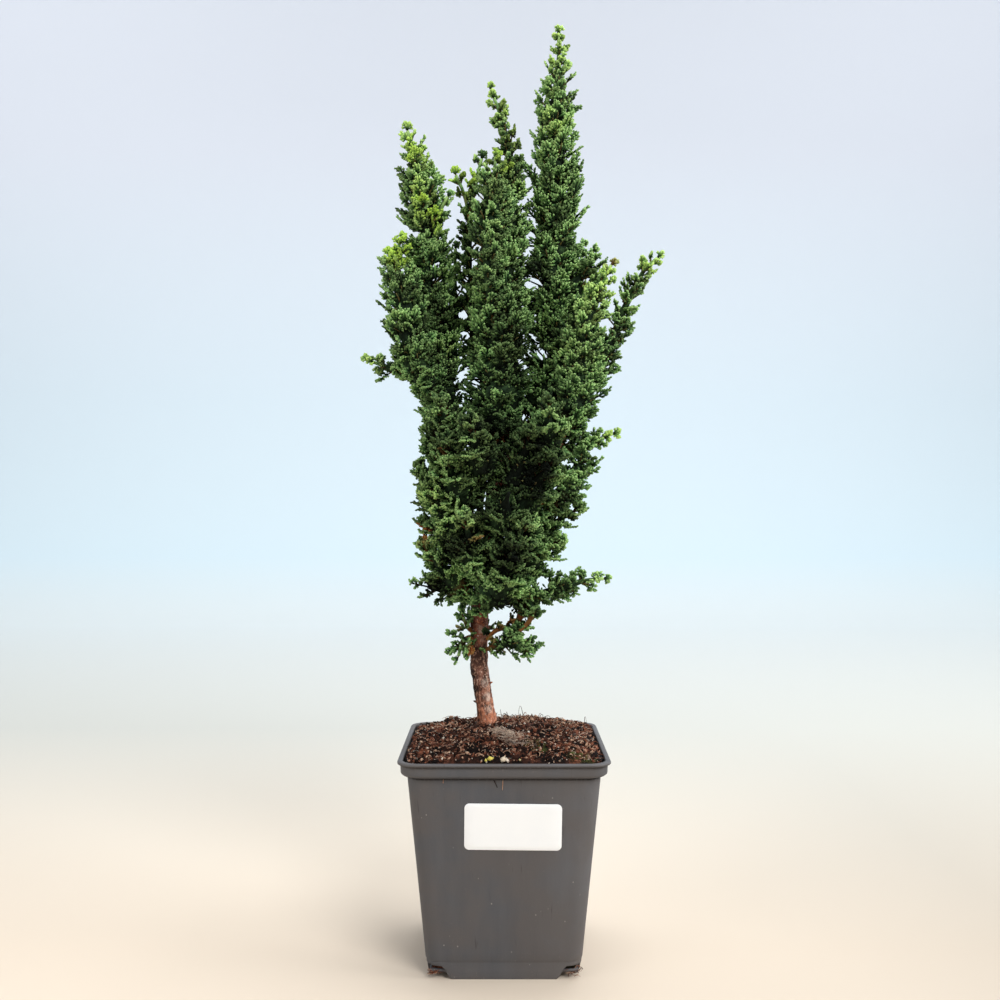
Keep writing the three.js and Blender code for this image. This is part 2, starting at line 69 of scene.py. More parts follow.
def toFrame(points):
    return np.asarray(points, float) * millimetre + potFoot


def fromFrame(points):
    return (np.asarray(points, float) - potFoot) / millimetre


def unit(vectors):
    return vectors / np.maximum(np.linalg.norm(vectors, axis=-1, keepdims=True), 1e-9)


# Vectors made square to unit vectors: less their share along them, then back to a length of 1.
def squareTo(vectors, run):
    return unit(vectors - np.sum(vectors * run, -1, keepdims=True) * run)


# Directions turned from the first towards the second: first x cosine + second x sine of the angle.
def turned(first, second, angle):
    return first * np.cos(angle)[..., None] + second * np.sin(angle)[..., None]


# Angles spaced evenly round a circle; a shift of 0.5 sets them halfway between.
def circleTurns(count, shift=0.0):
    return (np.arange(count) + shift) * 2 * math.pi / count


# How strong a soft place is, from the distance as a share of its radius: full within half the radius,
# falling to nothing at its edge.
def fade(gap):
    return np.clip(2 - 2 * gap, 0, 1)


hashPrimes = np.array([374761393, 668265263, 2147483647])


# Value noise: a random number at each whole-number place, blended smoothly in between, from -1 to 1.
def noise(points, seed=0):
    cell = np.floor(points).astype(np.int64)
    part = points - cell
    part = part * part * (3 - 2 * part)
    total = np.zeros(points.shape[:-1])
    for corner in np.ndindex(2, 2, 2):
        place = cell + corner
        key = place @ hashPrimes + seed * 144665
        key = (key ^ (key >> 13)) * 1274126177
        key = key ^ (key >> 16)
        weight = np.prod(np.where(corner, part, 1 - part), axis=-1)
        total += weight * ((key & 0xFFFF) / 32767.5 - 1)
    return total


# Layers of noise, each twice as fine and half as strong as the one before.
def layeredNoise(points, size, layers=3, seed=0):
    total = np.zeros(points.shape[:-1])
    for layer in range(layers):
        total += noise(points * 2**layer / size, seed + layer) / 2**layer
    return total


# A smooth curve through given points, each x, y, z and one more value: Catmull-Rom, evenly spaced.
def smoothRoute(points, count):
    knots = np.asarray(points, float)
    knots = np.vstack([2 * knots[0] - knots[1], knots, 2 * knots[-1] - knots[-2]])
    spans = len(knots) - 3
    t = np.linspace(0, spans, spans * 40 + 1)
    k = np.minimum(t.astype(int), spans - 1)
    f = (t - k)[:, None]
    a, b, c, d = knots[k], knots[k + 1], knots[k + 2], knots[k + 3]
    curve = 0.5 * (2 * b + (c - a) * f + (2 * a - 5 * b + 4 * c - d) * f**2 + (3 * b - a - 3 * c + d) * f**3)
    run = np.concatenate([[0], np.cumsum(np.linalg.norm(np.diff(curve[:, :3], axis=0), axis=1))])
    even = np.linspace(0, run[-1], count)
    return np.stack([np.interp(even, run, column) for column in curve.T], axis=1), run[-1]


# Tangent and two normals at each point of a curve; the first normal keeps near one fixed direction.
def routeFrame(centres, towards=(0.2, 1, 0.1)):
    tangent = unit(np.gradient(centres, axis=0))
    towards = np.asarray(towards, float)
    first = unit(towards - (tangent @ towards)[:, None] * tangent)
    return tangent, first, np.cross(tangent, first)


# Faces of a grid of points, rows by columns, as corner lists four at a time. wrap joins the last column
# to the first.
def gridFaces(rows, columns, wrap=True):
    row, column = np.meshgrid(np.arange(rows - 1), np.arange(columns if wrap else columns - 1), indexing="ij")
    following = (column + 1) % columns
    corners = [row * columns + column, row * columns + following]
    corners += [(row + 1) * columns + following, (row + 1) * columns + column]
    return np.stack(corners, axis=-1).reshape(-1, 4)


# One piece from points and faces; faces is a list of arrays, each with its own number of corners a face.
def makePiece(name, points, faces, finish, nodes=(), paint=None):
    mesh = bpy.data.meshes.new(name)
    corners = np.concatenate([array.ravel() for array in faces])
    sizes = np.concatenate([np.full(len(array), array.shape[1]) for array in faces])
    mesh.vertices.add(len(points))
    mesh.vertices.foreach_set("co", toFrame(points).astype(np.float32).ravel())
    mesh.loops.add(len(corners))
    mesh.loops.foreach_set("vertex_index", corners.astype(np.int32))
    mesh.polygons.add(len(sizes))
    mesh.polygons.foreach_set("loop_start", (np.cumsum(sizes) - sizes).astype(np.int32))
    mesh.polygons.foreach_set("use_smooth", np.ones(len(sizes), bool))
    mesh.update(calc_edges=True)
    if paint is not None:
        layer = mesh.attributes.new("growth", "FLOAT_COLOR", "POINT")
        layer.data.foreach_set("color", paint.astype(np.float32).ravel())
    mesh.materials.append(finish)
    piece = bpy.data.objects.new(name, mesh)
    bpy.context.scene.collection.objects.link(piece)
    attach(piece, "root")
    if nodes:
        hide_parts(*nodes)


# The faces of one shape, repeated for many copies whose points follow each other, size points a copy.
def copiedFaces(lists, copies, size):
    step = (np.arange(copies) * size)[:, None, None]
    return [(array + step).reshape(-1, array.shape[1]) for array in lists]


# Many tapered cords at once. Each runs from its start along its heading, bent towards its normal by
# bend x length x share^2, and its round or flattened rings follow one profile of (share, radius) pairs.
# A profile that begins with radius 0 has a point there; otherwise the cord begins with a flat face.
def cords(start, heading, normal, length, radius, bend, profile, sides, flat):
    share, width = np.array(profile, float).T
    along = length[:, None] * share
    centre = start[:, None] + heading[:, None] * along[..., None]
    centre = centre + normal[:, None] * (bend[:, None] * along * share)[..., None]
    ring = turned(np.cross(normal, heading)[:, None], normal[:, None] * flat, circleTurns(sides, 0.5))
    pointed = int(width[0] == 0)
    rows = len(profile) - 1 - pointed
    reach = (radius[:, None] * width[pointed:-1])[..., None, None]
    rings = centre[:, pointed:-1, None] + ring[:, None] * reach
    ends = [centre[:, -1:], centre[:, :1]][:1 + pointed]
    points = np.concatenate([rings.reshape(len(start), -1, 3), *ends], axis=1)
    edge = np.arange(sides)
    after = (edge + 1) % sides
    last, tip = (rows - 1) * sides, np.full(sides, rows * sides)
    lists = [gridFaces(rows, sides), np.stack([last + edge, last + after, tip], axis=1)]
    lists.append(np.stack([after, edge, tip + 1], axis=1) if pointed else edge[::-1][None])
    faces = copiedFaces(lists, len(start), points.shape[1])
    shares = np.concatenate([np.repeat(share[pointed:-1], sides), share[-1:], share[:pointed]])
    return points.reshape(-1, 3), faces, np.tile(shares, len(start))


# One closed skin over rings of points, rows by columns, with a flat face at each end.
def skin(rings):
    rows, columns = rings.shape[:2]
    ends = np.stack([np.arange(columns)[::-1], (rows - 1) * columns + np.arange(columns)])
    return rings.reshape(-1, 3), [gridFaces(rows, columns), ends]


def joined(parts):
    points, faces = zip(*parts)
    first = np.cumsum([0] + [len(own) for own in points])
    faces = [array + shift for lists, shift in zip(faces, first) for array in lists]
    return np.concatenate(points), faces


# One piece from many parts, each its points, faces and growth paint.
def makeMany(name, parts, finish, nodes=()):
    points, faces = joined([part[:2] for part in parts])
    makePiece(name, points, faces, finish, nodes, np.concatenate([part[2] for part in parts]))


# How strongly points lie in any of a list of soft balls, each x, y, z, radius and strength.
def ballShare(points, places):
    places = np.asarray(places, float)
    gap = np.linalg.norm(points[..., None, :] - places[:, :3], axis=-1) / places[:, 3]
    return np.max(fade(gap) * places[:, 4], axis=-1)


# A value in a material's node tree. Adding, taking or multiplying it adds a Math node.
class Field:
    def __init__(self, finish, socket):
        self.finish, self.socket = finish, socket

    def math(self, operation, first, second=0.0):
        return self.finish.value("ShaderNodeMath", {"operation": operation}, {0: first, 1: second})

    def __add__(self, other):
        return self.math("ADD", self, other)

    def __sub__(self, other):
        return self.math("SUBTRACT", self, other)

    def __rsub__(self, other):
        return self.math("SUBTRACT", other, self)

    def __mul__(self, other):
        return self.math("MULTIPLY", self, other)

    __radd__ = __add__
    __rmul__ = __mul__

    def clamped(self):
        return self.math("MINIMUM", self.math("MAXIMUM", self, 0.0), 1.0)


# A material: the numbers and colours that are the same all over are set at once, and the rest is linked.
class Finish:
    def __init__(self, name, **fixed):
        self.material = bpy.data.materials.new(name)
        self.material.use_nodes = True
        self.tree = self.material.node_tree
        self.shader = self.tree.nodes["Principled BSDF"]
        for socket, value in fixed.items():
            self.shader.inputs[socket.replace("_", " ")].default_value = value

    def add(self, kind, settings=None, sockets=None):
        node = self.tree.nodes.new(kind)
        for key, value in (settings or {}).items():
            setattr(node, key, value)
        for key, value in (sockets or {}).items():
            self.connect(self.findInput(node, key), value)
        return node

    def findInput(self, node, key):
        if isinstance(key, int):
            return node.inputs[key]
        return next(socket for socket in node.inputs if key in (socket.identifier, socket.name))

    def connect(self, socket, value):
        if isinstance(value, Field):
            self.tree.links.new(value.socket, socket)
        else:
            socket.default_value = value

    # A node of which one output is used.
    def value(self, kind, settings=None, sockets=None, output=0):
        return Field(self, self.add(kind, settings, sockets).outputs[output])

    def place(self, stretch):
        coordinates = self.value("ShaderNodeTexCoord", output="Object")
        return self.value("ShaderNodeMapping", None, {"Vector": coordinates, "Scale": stretch})

    # Noise whose grains are about this many millimetres across.
    def grain(self, size, stretch=(1, 1, 1), detail=3.0, roughness=0.55):
        sockets = {"Vector": self.place(stretch), "Scale": 1 / (size * millimetre)}
        return self.value("ShaderNodeTexNoise", None, {**sockets, "Detail": detail, "Roughness": roughness})

    def cells(self, size, stretch):
        sockets = {"Vector": self.place(stretch), "Scale": 1 / (size * millimetre)}
        return self.value("ShaderNodeTexVoronoi", None, sockets)

    # Rises from 0 at low to 1 at high.
    def rise(self, factor, low, high):
        return self.value("ShaderNodeMapRange", None, {0: factor, 1: low, 2: high})

    # Colours are red, green and blue as seen on a screen, or values in the tree.
    def mix(self, factor, *colours):
        first, second = (colour if isinstance(colour, Field) else screen(*colour) for colour in colours)
        sockets = {"Factor_Float": factor, "A_Color": first, "B_Color": second}
        return self.value("ShaderNodeMix", {"data_type": "RGBA"}, sockets, 2)

    # Coats laid over a colour one after the other, each how much it covers and its colour.
    def coats(self, body, *coats):
        for share, colour in coats:
            body = self.mix(share, body, colour)
        return body

    def channels(self, name):
        colour = self.value("ShaderNodeAttribute", {"attribute_name": name}, None, "Color")
        split = self.add("ShaderNodeSeparateColor", None, {0: colour})
        alpha = colour.socket.node.outputs["Alpha"]
        return [Field(self, out) for out in (*split.outputs, alpha)]

    def feed(self, socket, value):
        self.tree.links.new(value.socket, self.shader.inputs[socket])

    def bump(self, height, depth, strength=1.0):
        sockets = {"Height": height, "Distance": depth * millimetre, "Strength": strength}
        self.feed("Normal", self.value("ShaderNodeBump", None, sockets))


# A colour from its red, green and blue as seen on a screen, 0 to 255.
def screen(red, green, blue):
    share = np.array([red, green, blue]) / 255
    linear = np.where(share <= 0.04045, share / 12.92, ((share + 0.055) / 1.055) ** 2.4)
    return (*linear, 1.0)


# Scale leaves: nearly black deep inside the plant, which is painted shade, dark green outside, lighter at the
# tips, with yellow-green young growth and a few withered, rust-brown sprays. growth holds tip, depth (how far
# out of the painted shade a place is), youth and withered, 0 to 1.
leafLook = {
    "inside": (10, 17, 10),
    "old": (75, 114, 72),
    "fresh": (144, 192, 106),
    "tip": (208, 228, 168),
    "young": (194, 232, 88),
    "withered": (156, 92, 50),
    "scaleSize": 1.1,
    "scaleDepth": 0.35,
}


def leafFinish():
    look = leafLook
    leaf = Finish("scaleLeaf", IOR=1.4, Specular_IOR_Level=0.2)
    tip, depth, youth, withered = leaf.channels("growth")
    patch = leaf.grain(14)
    depth = depth * (leaf.rise(leaf.grain(2.2, (1, 1, 1), 2), 0.38, 0.6) * 0.45 + 0.68)
    body = leaf.coats(
        look["inside"],
        (leaf.rise(tip + patch * 0.3, 0.1, 0.8), look["old"]),
        (leaf.rise(tip + patch * 0.6 + youth * 0.5, 0.75, 1.4), look["fresh"]),
        (leaf.rise(tip + youth * 0.55, 0.8, 1.25) * 0.85, leaf.mix(youth, look["tip"], look["young"])),
    )
    # Painted shade: a low depth mixes the leaves towards the nearly black inside colour.
    body = leaf.mix(leaf.rise(depth, 0.08, 0.9), look["inside"], body)
    leaf.feed("Base Color", leaf.mix(withered, body, look["withered"]))
    leaf.bump(leaf.cells(look["scaleSize"], (1, 1, 0.75)), look["scaleDepth"], 0.8)
    leaf.feed("Roughness", (leaf.grain(2) * 0.25 + (1 - depth) * 0.4 + 0.42).clamped())
    return leaf.material


# Flaking bark: growth holds how near the soil a place is, where the bark is peeled and orange, how far up
# in the shade of the crown, where it is dark red, how bare and pale it is, partly a painted highlight on its
# lit side, and how dark in painted shade.
barkLook = {
    "dark": (36, 22, 18),
    "mid": (134, 92, 78),
    "light": (232, 180, 152),
    "pale": (236, 216, 200),
    "orange": (216, 132, 92),
    "red": (118, 56, 40),
    "stripSize": 3.4,
    "flakeSize": 1.5,
}


def barkFinish():
    look = barkLook
    bark = Finish("flakingBark", IOR=1.4, Specular_IOR_Level=0.25)
    low, high, bare, shaded = bark.channels("growth")
    strips = bark.grain(look["stripSize"], (1, 1, 0.4), 5, 0.65)
    flakes = bark.grain(look["flakeSize"], (1, 1, 0.7), 5, 0.65)
    bark.feed("Base Color", bark.coats(
        look["dark"],
        (bark.rise(strips + low * 0.06, 0.4, 0.56), look["mid"]),
        (bark.rise(flakes + low * 0.05, 0.5, 0.66) * 0.8, look["light"]),
        ((low * bark.rise(strips + flakes, 0.85, 1.1)).clamped() * 0.8, look["orange"]),
        ((high * bark.rise(strips, 0.25, 0.6)).clamped() * 0.75, look["red"]),
        (high * bark.rise(bark.grain(1.7, (1, 1, 1), 4), 0.55, 0.66) * 0.8, look["orange"]),
        (bark.rise(bark.grain(1.1), 0.6, 0.7) * 0.7, look["pale"]),
        ((bare * bark.rise(flakes, 0.3, 0.55)).clamped() * 0.85, look["pale"]),
        (shaded * (1 - bark.rise(flakes, 0.5, 0.62) * 0.5), look["dark"]),
    ))
    bark.feed("Roughness", flakes * 0.3 + 0.55)
    bark.bump(strips * 0.7 + flakes * 0.5, 0.9)
    return bark.material


# Peat and bark soil: growth holds how pale, how mossy, how light and how yellow each grain is.
soilLook = {
    "dark": (18, 11, 9),
    "earth": (76, 45, 34),
    "red": (140, 86, 64),
    "tan": (226, 192, 162),
    "moss": (84, 92, 46),
    "yellow": (226, 212, 108),
    "pale": (236, 224, 206),
    "crumbSize": 1.6,
}


def soilFinish():
    look = soilLook
    soil = Finish("peatSoil", IOR=1.35, Specular_IOR_Level=0.2)
    pale, mossy, tone, yellow = soil.channels("growth")
    crumbs = soil.grain(look["crumbSize"], (1, 1, 1), 6, 0.7)
    value = tone * 0.75 + crumbs * 0.7
    soil.feed("Base Color", soil.coats(
        look["dark"],
        (soil.rise(value, 0.4, 0.66), look["earth"]),
        (soil.rise(value + soil.grain(2.6) * 0.3, 0.72, 0.98), look["red"]),
        (soil.rise(value, 0.86, 1.16), look["tan"]),
        (mossy, look["moss"]),
        (pale, look["pale"]),
        (yellow, look["yellow"]),
    ))
    soil.feed("Roughness", crumbs * 0.3 + 0.65)
    soil.bump(crumbs, 0.9)
    return soil.material


# Matt grey plastic with faint upright streaks, scuffs and dust. growth holds wear with a painted sheen, dust,
# and grime with painted shadow.
potLook = {
    "plastic": (78, 80, 85),
    "wearAndSheen": (118, 116, 117),
    "dust": (168, 158, 147),
    "line": (48, 46, 47),
    "grimeAndShadow": (40, 33, 29),
    "warm": (92, 86, 83),
    "speck": (186, 180, 172),
}


def potFinish():
    look = potLook
    pot = Finish("greyPlastic", IOR=1.48, Specular_IOR_Level=0.3)
    wearAndSheen, dusty, grimeAndShadow, _ = pot.channels("growth")
    streaks = pot.grain(7, (1, 1, 0.12), 4)
    scuffs = pot.grain(1.4, (1, 1, 0.5), 5, 0.7)
    specks = (1 - pot.rise(pot.cells(6, (1, 1, 0.8)), 0.02, 0.08)) * pot.rise(pot.grain(11), 0.46, 0.6)
    pot.feed("Base Color", pot.coats(
        look["plastic"],
        (pot.rise(streaks, 0.3, 0.8) * 0.22 + wearAndSheen * 0.5, look["wearAndSheen"]),
        (pot.rise(pot.grain(34), 0.38, 0.6) * 0.55, look["warm"]),
        (pot.rise(pot.grain(2.2, (1, 1, 0.07), 2), 0.68, 0.78) * 0.5, look["line"]),
        (specks * 0.6, look["speck"]),
        ((pot.rise(scuffs, 0.62, 0.76) * (0.1 + dusty) + dusty * 0.2).clamped(), look["dust"]),
        (grimeAndShadow * pot.rise(scuffs, 0.2, 0.5), look["grimeAndShadow"]),
    ))
    pot.feed("Roughness", streaks * 0.18 + scuffs * 0.12 + 0.42)
    pot.bump(pot.grain(0.9, (1, 1, 1), 3), 0.05)
    return pot.material


# Paper with faint bluish blotches and a fine fibre.
def labelFinish():
    label = Finish("whitePaper", IOR=1.45)
    fibre = label.grain(0.6, (1, 1, 0.4), 4)
    blotches = label.rise(label.grain(8), 0.4, 0.8) * 0.5
    label.feed("Base Color", label.mix(blotches, (250, 253, 255), (245, 249, 252)))
    label.feed("Roughness", fibre * 0.15 + 0.5)
    label.bump(fibre, 0.02)
    return label.material


leaf, bark, soil = leafFinish(), barkFinish(), soilFinish()
plastic, paper = potFinish(), labelFinish()
print("materials are ready")


potShape = {
    "height": 115,
    "footHalf": 40,
    "draft": 0.0933,
    "wall": 1.15,
    "collarBottom": 106.8,
    "collarHalf": 53.5,
    "cornerAtFoot": 8,
    "cornerAtLip": 10,
    "floor": (3.4, 4.8),
    "notchTop": 7.1,
    "skirtHalf": 28,
    "skirtSlant": 3.2,
    "seam": 9.4,
    "cornerSteps": 10,
    "sideSteps": 40,
    "floorSteps": 48,
    "floorCell": 12,
    "middleHole": 6,
    "cornerHole": 4.5,
}


# A square with round corners, as points round its edge. Straight sides and quarter circles meet at the
# corner radius, and the sides have many points, so that notches can be cut into them.
def squareOutline(half, corner):
    quarter = np.linspace(0, math.pi / 2, potShape["cornerSteps"] + 1)
    straight = np.linspace(1, -1, potShape["sideSteps"] + 1)[1:-1]
    arc = np.stack([half - corner + corner * np.cos(quarter), half - corner + corner * np.sin(quarter)], 1)
    run = np.stack([straight * (half - corner), np.full(len(straight), half)], 1)
    side = np.concatenate([arc, run])
    turns = [(side @ np.array([[c, s], [-s, c]])) for c, s in ((1, 0), (0, 1), (-1, 0), (0, -1))]
    return np.concatenate(turns)


# Half the pot's width across its wall at a height: half the foot + draft x height.
def wallHalf(z):
    return potShape["footHalf"] + potShape["draft"] * z


# The pot's wall: rows of outlines from the foot up the outside, over the lip and down the inside. The
# lowest rows follow the notches at the foot's corners.
def makePot():
    s = potShape
    wall, lip, foot = s["wall"], s["cornerAtLip"], s["cornerAtFoot"]
    collar, top = s["collarBottom"], s["height"]
    outline = squareOutline(s["footHalf"], foot)
    # How far a point lies along its own side decides the height of the notch there.
    along = np.min(np.abs(outline), axis=1)
    notch = np.clip((along - s["skirtHalf"]) / s["skirtSlant"], 0, 1) * s["notchTop"]
    rows = []

    def ring(half, corner, z):
        flat = squareOutline(half, corner)
        rows.append(np.column_stack([flat, np.broadcast_to(z, len(flat))]))

    def lowRing(inset, share):
        z = notch + (s["seam"] - notch) * share
        flat = squareOutline(s["footHalf"] - inset, foot - inset)
        lean = 1 + s["draft"] * z / s["footHalf"]
        rows.append(np.column_stack([flat * lean[:, None], z]))

    seamHalf = wallHalf(s["seam"])
    for share in (0, 0.06, 0.5, 0.94, 1):
        lowRing(0.15 if share == 0 else 0, share)
    ring(seamHalf + 0.1, foot + 0.1, s["seam"] + 0.15)
    for z in (*np.linspace(s["seam"] + 0.5, collar - 3, 23), collar - 1.3, collar - 0.5):
        ring(wallHalf(z) + 0.25, foot + (lip - 0.8 - foot) * z / collar, z)
    for half, z in ((-0.35, -0.2), (1.2, 0.25), (2.2, 0.7), (2.95, 1.5), (3.15, 2.4)):
        ring(wallHalf(collar) + 0.25 + half, lip - 0.4, collar + z)
    for half, z in ((0, 2.9), (0, 2.2), (0, 1.6), (1.3, 1.5), (1.5, 1.25), (1.5, 0.5), (1.25, 0.15),
                    (0.8, 0), (-0.8, 0), (-1.1, 0.25)):
        ring(s["collarHalf"] + half, lip - 0.2 + half * 0.2, top - z)
    inner = s["collarHalf"] - wall
    for half, z in ((0, top - collar - 2), (-0.4, 2.6), (-0.7, 2), (-3, 0.9), (-3.2, 0)):
        ring(inner + half, lip - 1.2, collar + z)
    for z in np.linspace(collar - 6, s["seam"] + 2, 8):
        ring(wallHalf(z) - wall, foot - 0.8 + z * 0.01, z)
    for share in (1, 0.5, 0.06, 0):
        lowRing(wall - (0.15 if share == 0 else 0), share)

    rings = np.array(rows)
    count, columns = rings.shape[:2]
    faces = gridFaces(count, columns)
    # The last row joins the first, so that the wall's lower edge is closed.
    closing = gridFaces(2, columns)
    closing = np.where(closing >= columns, closing - columns, closing + (count - 1) * columns)
    points = rings.reshape(-1, 3)
    high = points[:, 2]
    wearAndSheen = np.clip(1 - np.abs(high - top + 0.4) / 1.5, 0, 1) * 0.5
    # Painted sheen: the front is a little paler towards its right edge, where the light catches it.
    right = np.clip((points[:, 0] - 8) / 30, 0, 1) * np.clip(-points[:, 1] / 30, 0, 1)
    wearAndSheen = wearAndSheen + right * (high < collar - 1) * 0.55
    dusty = np.clip((high - collar) / 9, 0, 1) * 0.3 + np.clip(1 - high / 14, 0, 1) * 0.35
    outside = np.max(np.abs(points[:, :2]), axis=1) > s["footHalf"] + 8
    # Painted shadow: a dark line just under the lip; the dark band under the collar is partly dirt and partly
    # painted shade.
    grimeAndShadow = np.clip(1.25 - np.abs(high - collar + 0.2), 0, 1)
    grimeAndShadow = grimeAndShadow + np.clip(1.3 - np.abs(high - top + 1.8) / 0.7, 0, 1)
    paint = np.column_stack([wearAndSheen, dusty, np.clip(grimeAndShadow, 0, 1) * 0.8 * outside, wearAndSheen * 0])
    makePiece("potBody", points, [faces, closing], plastic, ["pot"], paint)


# The raised floor: a flat slab with a hole in the middle and one near each corner. It is built from
# square cells, each ringed round its own hole, that share the points of their edges. Only the slab's own
# edge has a wall, and a cell with no hole is closed by one flat face above and one below.
def makeFloor():
    s = potShape
    low, high = s["floor"]
    half = s["footHalf"] - s["wall"] - 0.1
    steps, cell = s["floorSteps"], s["floorCell"]
    turn = circleTurns(steps)
    circle = np.stack([np.cos(turn), np.sin(turn)], 1)
    square = circle / np.max(np.abs(circle), axis=1, keepdims=True)
    parts = []
    holes = [(0, 0, s["middleHole"])] + [(x, y, s["cornerHole"]) for x in (-1, 1) for y in (-1, 1)]
    holes += [(x, y, 0) for x, y in ((1, 0), (-1, 0), (0, 1), (0, -1))]
    for x, y, radius in holes:
        edge = square * cell
        at = np.array([x, y]) * 2 * cell
        reach = np.where(np.abs(edge + at) > 3 * cell - 0.1, half - 3 * cell, 0) * np.sign(edge)
        outer = edge + reach + at
        inner = circle * radius + at
        rows = [(outer, low), (outer, high)] + [(inner, high), (inner, low), (outer, low)] * (radius > 0)
        rings = np.array([np.column_stack([flat, np.full(steps, z)]) for flat, z in rows])
        own = gridFaces(len(rows), steps)
        outside = np.isclose(np.max(np.abs(outer), axis=1), half)
        lists = [own[:steps][outside & np.roll(outside, -1)], own[steps:]]
        if radius == 0:
            lists[1] = np.stack([np.arange(steps)[::-1], np.arange(steps) + steps])
        parts.append((rings.reshape(-1, 3), lists))
    points, faces = joined(parts)
    _, first, same = np.unique(points.round(3), axis=0, return_index=True, return_inverse=True)
    points, faces = points[first], [same.ravel()[array] for array in faces]
    paint = np.tile([0, 0.3, 0, 1.0], (len(points), 1))
    makePiece("potFloor", points, faces, plastic, (), paint)


makePot()
makeFloor()
print("pot is ready")


labelShape = {
    "width": 50,
    "height": 24.5,
    "thick": 0.3,
    "corner": 2.6,
    "x": 4.6,
    "z": 81.5,
    "turn": -0.6,
    "standOff": 0.32,
    "steps": 120,
}


# A thin sheet with round corners, lying on the sloping wall: its outline is filled by rings that shrink
# to its middle, and its rim is rolled over by a tenth of a millimetre.
def makeLabel():
    s = labelShape
    steps, thick, radius = s["steps"], s["thick"], s["corner"]
    turn = np.linspace(0, 2 * math.pi, steps + 1)[:-1]
    corner = np.stack([np.cos(turn), np.sin(turn)], 1)
    core = np.sign(np.round(corner, 9)) * [s["width"] / 2 - radius, s["height"] / 2 - radius]
    rows = [(core * 0.01, 0)]
    rows += [(core + corner * (radius - inset), lift)
             for inset, lift in ((0.12, 0), (0, 0.08), (0, 0.22), (0.12, thick))]
    rows += [(core * share + corner * radius * share, thick) for share in (0.8, 0.5, 0.2, 0.01)]
    rings = np.array([np.column_stack([flat, np.full(steps, lift)]) for flat, lift in rows])
    lean = math.atan(potShape["draft"])
    roll = math.radians(s["turn"])
    u = rings[..., 0] * math.cos(roll) - rings[..., 1] * math.sin(roll)
    v = rings[..., 0] * math.sin(roll) + rings[..., 1] * math.cos(roll)
    out = rings[..., 2] + s["standOff"]
    x = s["x"] + u
    y = -wallHalf(s["z"]) - v * math.sin(lean) - out * math.cos(lean)
    z = s["z"] + v * math.cos(lean) - out * math.sin(lean)
    points, faces = skin(np.stack([x, y, z], axis=-1))
    makePiece("labelSheet", points, faces, paper, ["label"])


makeLabel()
print("label is ready")


# Routes of the trunk and its limbs, each point x, y, z and radius.
woodRoutes = {
    "trunk": [(-9.2, 11, 96, 5.6), (-9.4, 10.5, 118, 6.4), (-9.8, 10, 126, 5.4), (-11.4, 9, 140, 4.9),
              (-13.9, 7.5, 162, 4.8), (-13.2, 6, 182, 4.7), (-12, 4, 200, 4.5), (-9.9, 2, 217, 4.2),
              (-6.5, 1, 238, 3.8), (-0.5, 2, 262, 3.2), (10.2, 4, 283, 2.6)],
    "centre": [(-8.8, 1.6, 223, 2.9), (-7.5, -2, 250, 2.7), (-5, -4, 273, 2.4)],
    "left": [(-11.3, 3, 207, 3.1), (-18.5, 1.5, 235, 2.9), (-26, 1, 262, 2.6), (-31.5, 2, 287, 2.3)],
    "right": [(-5.4, 1, 243, 2.9), (6, -6, 254, 2.7), (20, -10, 267, 2.5), (30.3, -12, 281, 2.3)],
    "back": [(-7.8, 1.5, 231, 2.6), (-6.5, 13, 250, 2.5), (-3.5, 23, 268, 2.3), (-2.2, 30, 283, 2.1)],
    "backRight": [(0.4, 2.4, 264, 2.4), (12, 14, 275, 2.2), (24, 22, 286, 2), (32, 26, 295, 1.9)],
    "backLeft": [(-14.5, 2.2, 220, 2.5), (-23, 13, 245, 2.3), (-32, 22, 272, 2.1), (-36.6, 28, 295, 1.9)],
}
woodCurves = {name: smoothRoute(route, 120)[0] for name, route in woodRoutes.items()}
woodPlaces = np.concatenate(list(woodCurves.values()))
barkShape = {
    "sides": 48,
    "rows": 280,
    "limbSides": 16,
    "limbRows": 60,
    "stretch": 1.03,
    "ridge": 0.55,
    "flake": 0.45,
    # bare: pale patches, partly bare bark and partly a painted highlight down the lit right of the trunk;
    # shaded: painted shade.
    "bare": [(-10, 3, 147, 3, 0.85), (-9, 4.5, 139, 3.2, 0.7), (-8, 5, 132, 3, 0.5),
             (-12.5, 1, 177, 3, 0.35), (-11, 1, 171, 2.5, 0.35)],
    "shaded": [(-13, 3, 162, 9, 0.8), (-9.5, 3, 201, 7, 0.5), (-14, 3, 144, 3, 0.7),
               (-12.6, 4, 138, 3.5, 0.6)],
    "stubs": [(134, 190, 7.2), (145, -25, 7), (151, 200, 6.4), (160, -75, 6.4), (176, 10, 6.3),
              (188, 160, 6)],
    "stubProfile": [(0, 2), (0.7, 1.2), (0.85, 0.8), (1, 0)],
    "stubRadius": 0.65,
}


# A tube whose radius is the route's own x (1 + flare) + ridges that run along it - flakes of bark + knots.
# The flare has three blunt roots near the soil.
def barkTube(route, rows, sides, seed):
    curve, _ = smoothRoute(route, rows)
    _, first, second = routeFrame(curve[:, :3])
    turn = circleTurns(sides)
    out = turned(first[:, None], second[:, None], turn)
    curve[:, 3] *= barkShape["stretch"]
    skinPlace = curve[:, None, :3] + out * curve[:, None, 3:]
    ridges = layeredNoise(skinPlace * (1, 1, 0.2), 2.2, 3, seed)
    flakes = np.abs(layeredNoise(skinPlace * (1, 1, 0.6), 1.3, 2, seed + 9))
    knots = np.clip(layeredNoise(skinPlace, 9, 1, seed + 4) - 0.45, 0, 1) * 2.2
    flare = np.clip((128 - curve[:, 2]) / 12, 0, 1)[:, None] * (0.16 + 0.16 * np.cos(3 * turn + 0.7))
    lift = barkShape["ridge"] * ridges - barkShape["flake"] * flakes + knots
    reach = curve[:, 3:] * (1 + flare) + lift * np.minimum(1, curve[:, 3:] / 4)
    return skin(curve[:, None, :3] + out * reach[..., None])


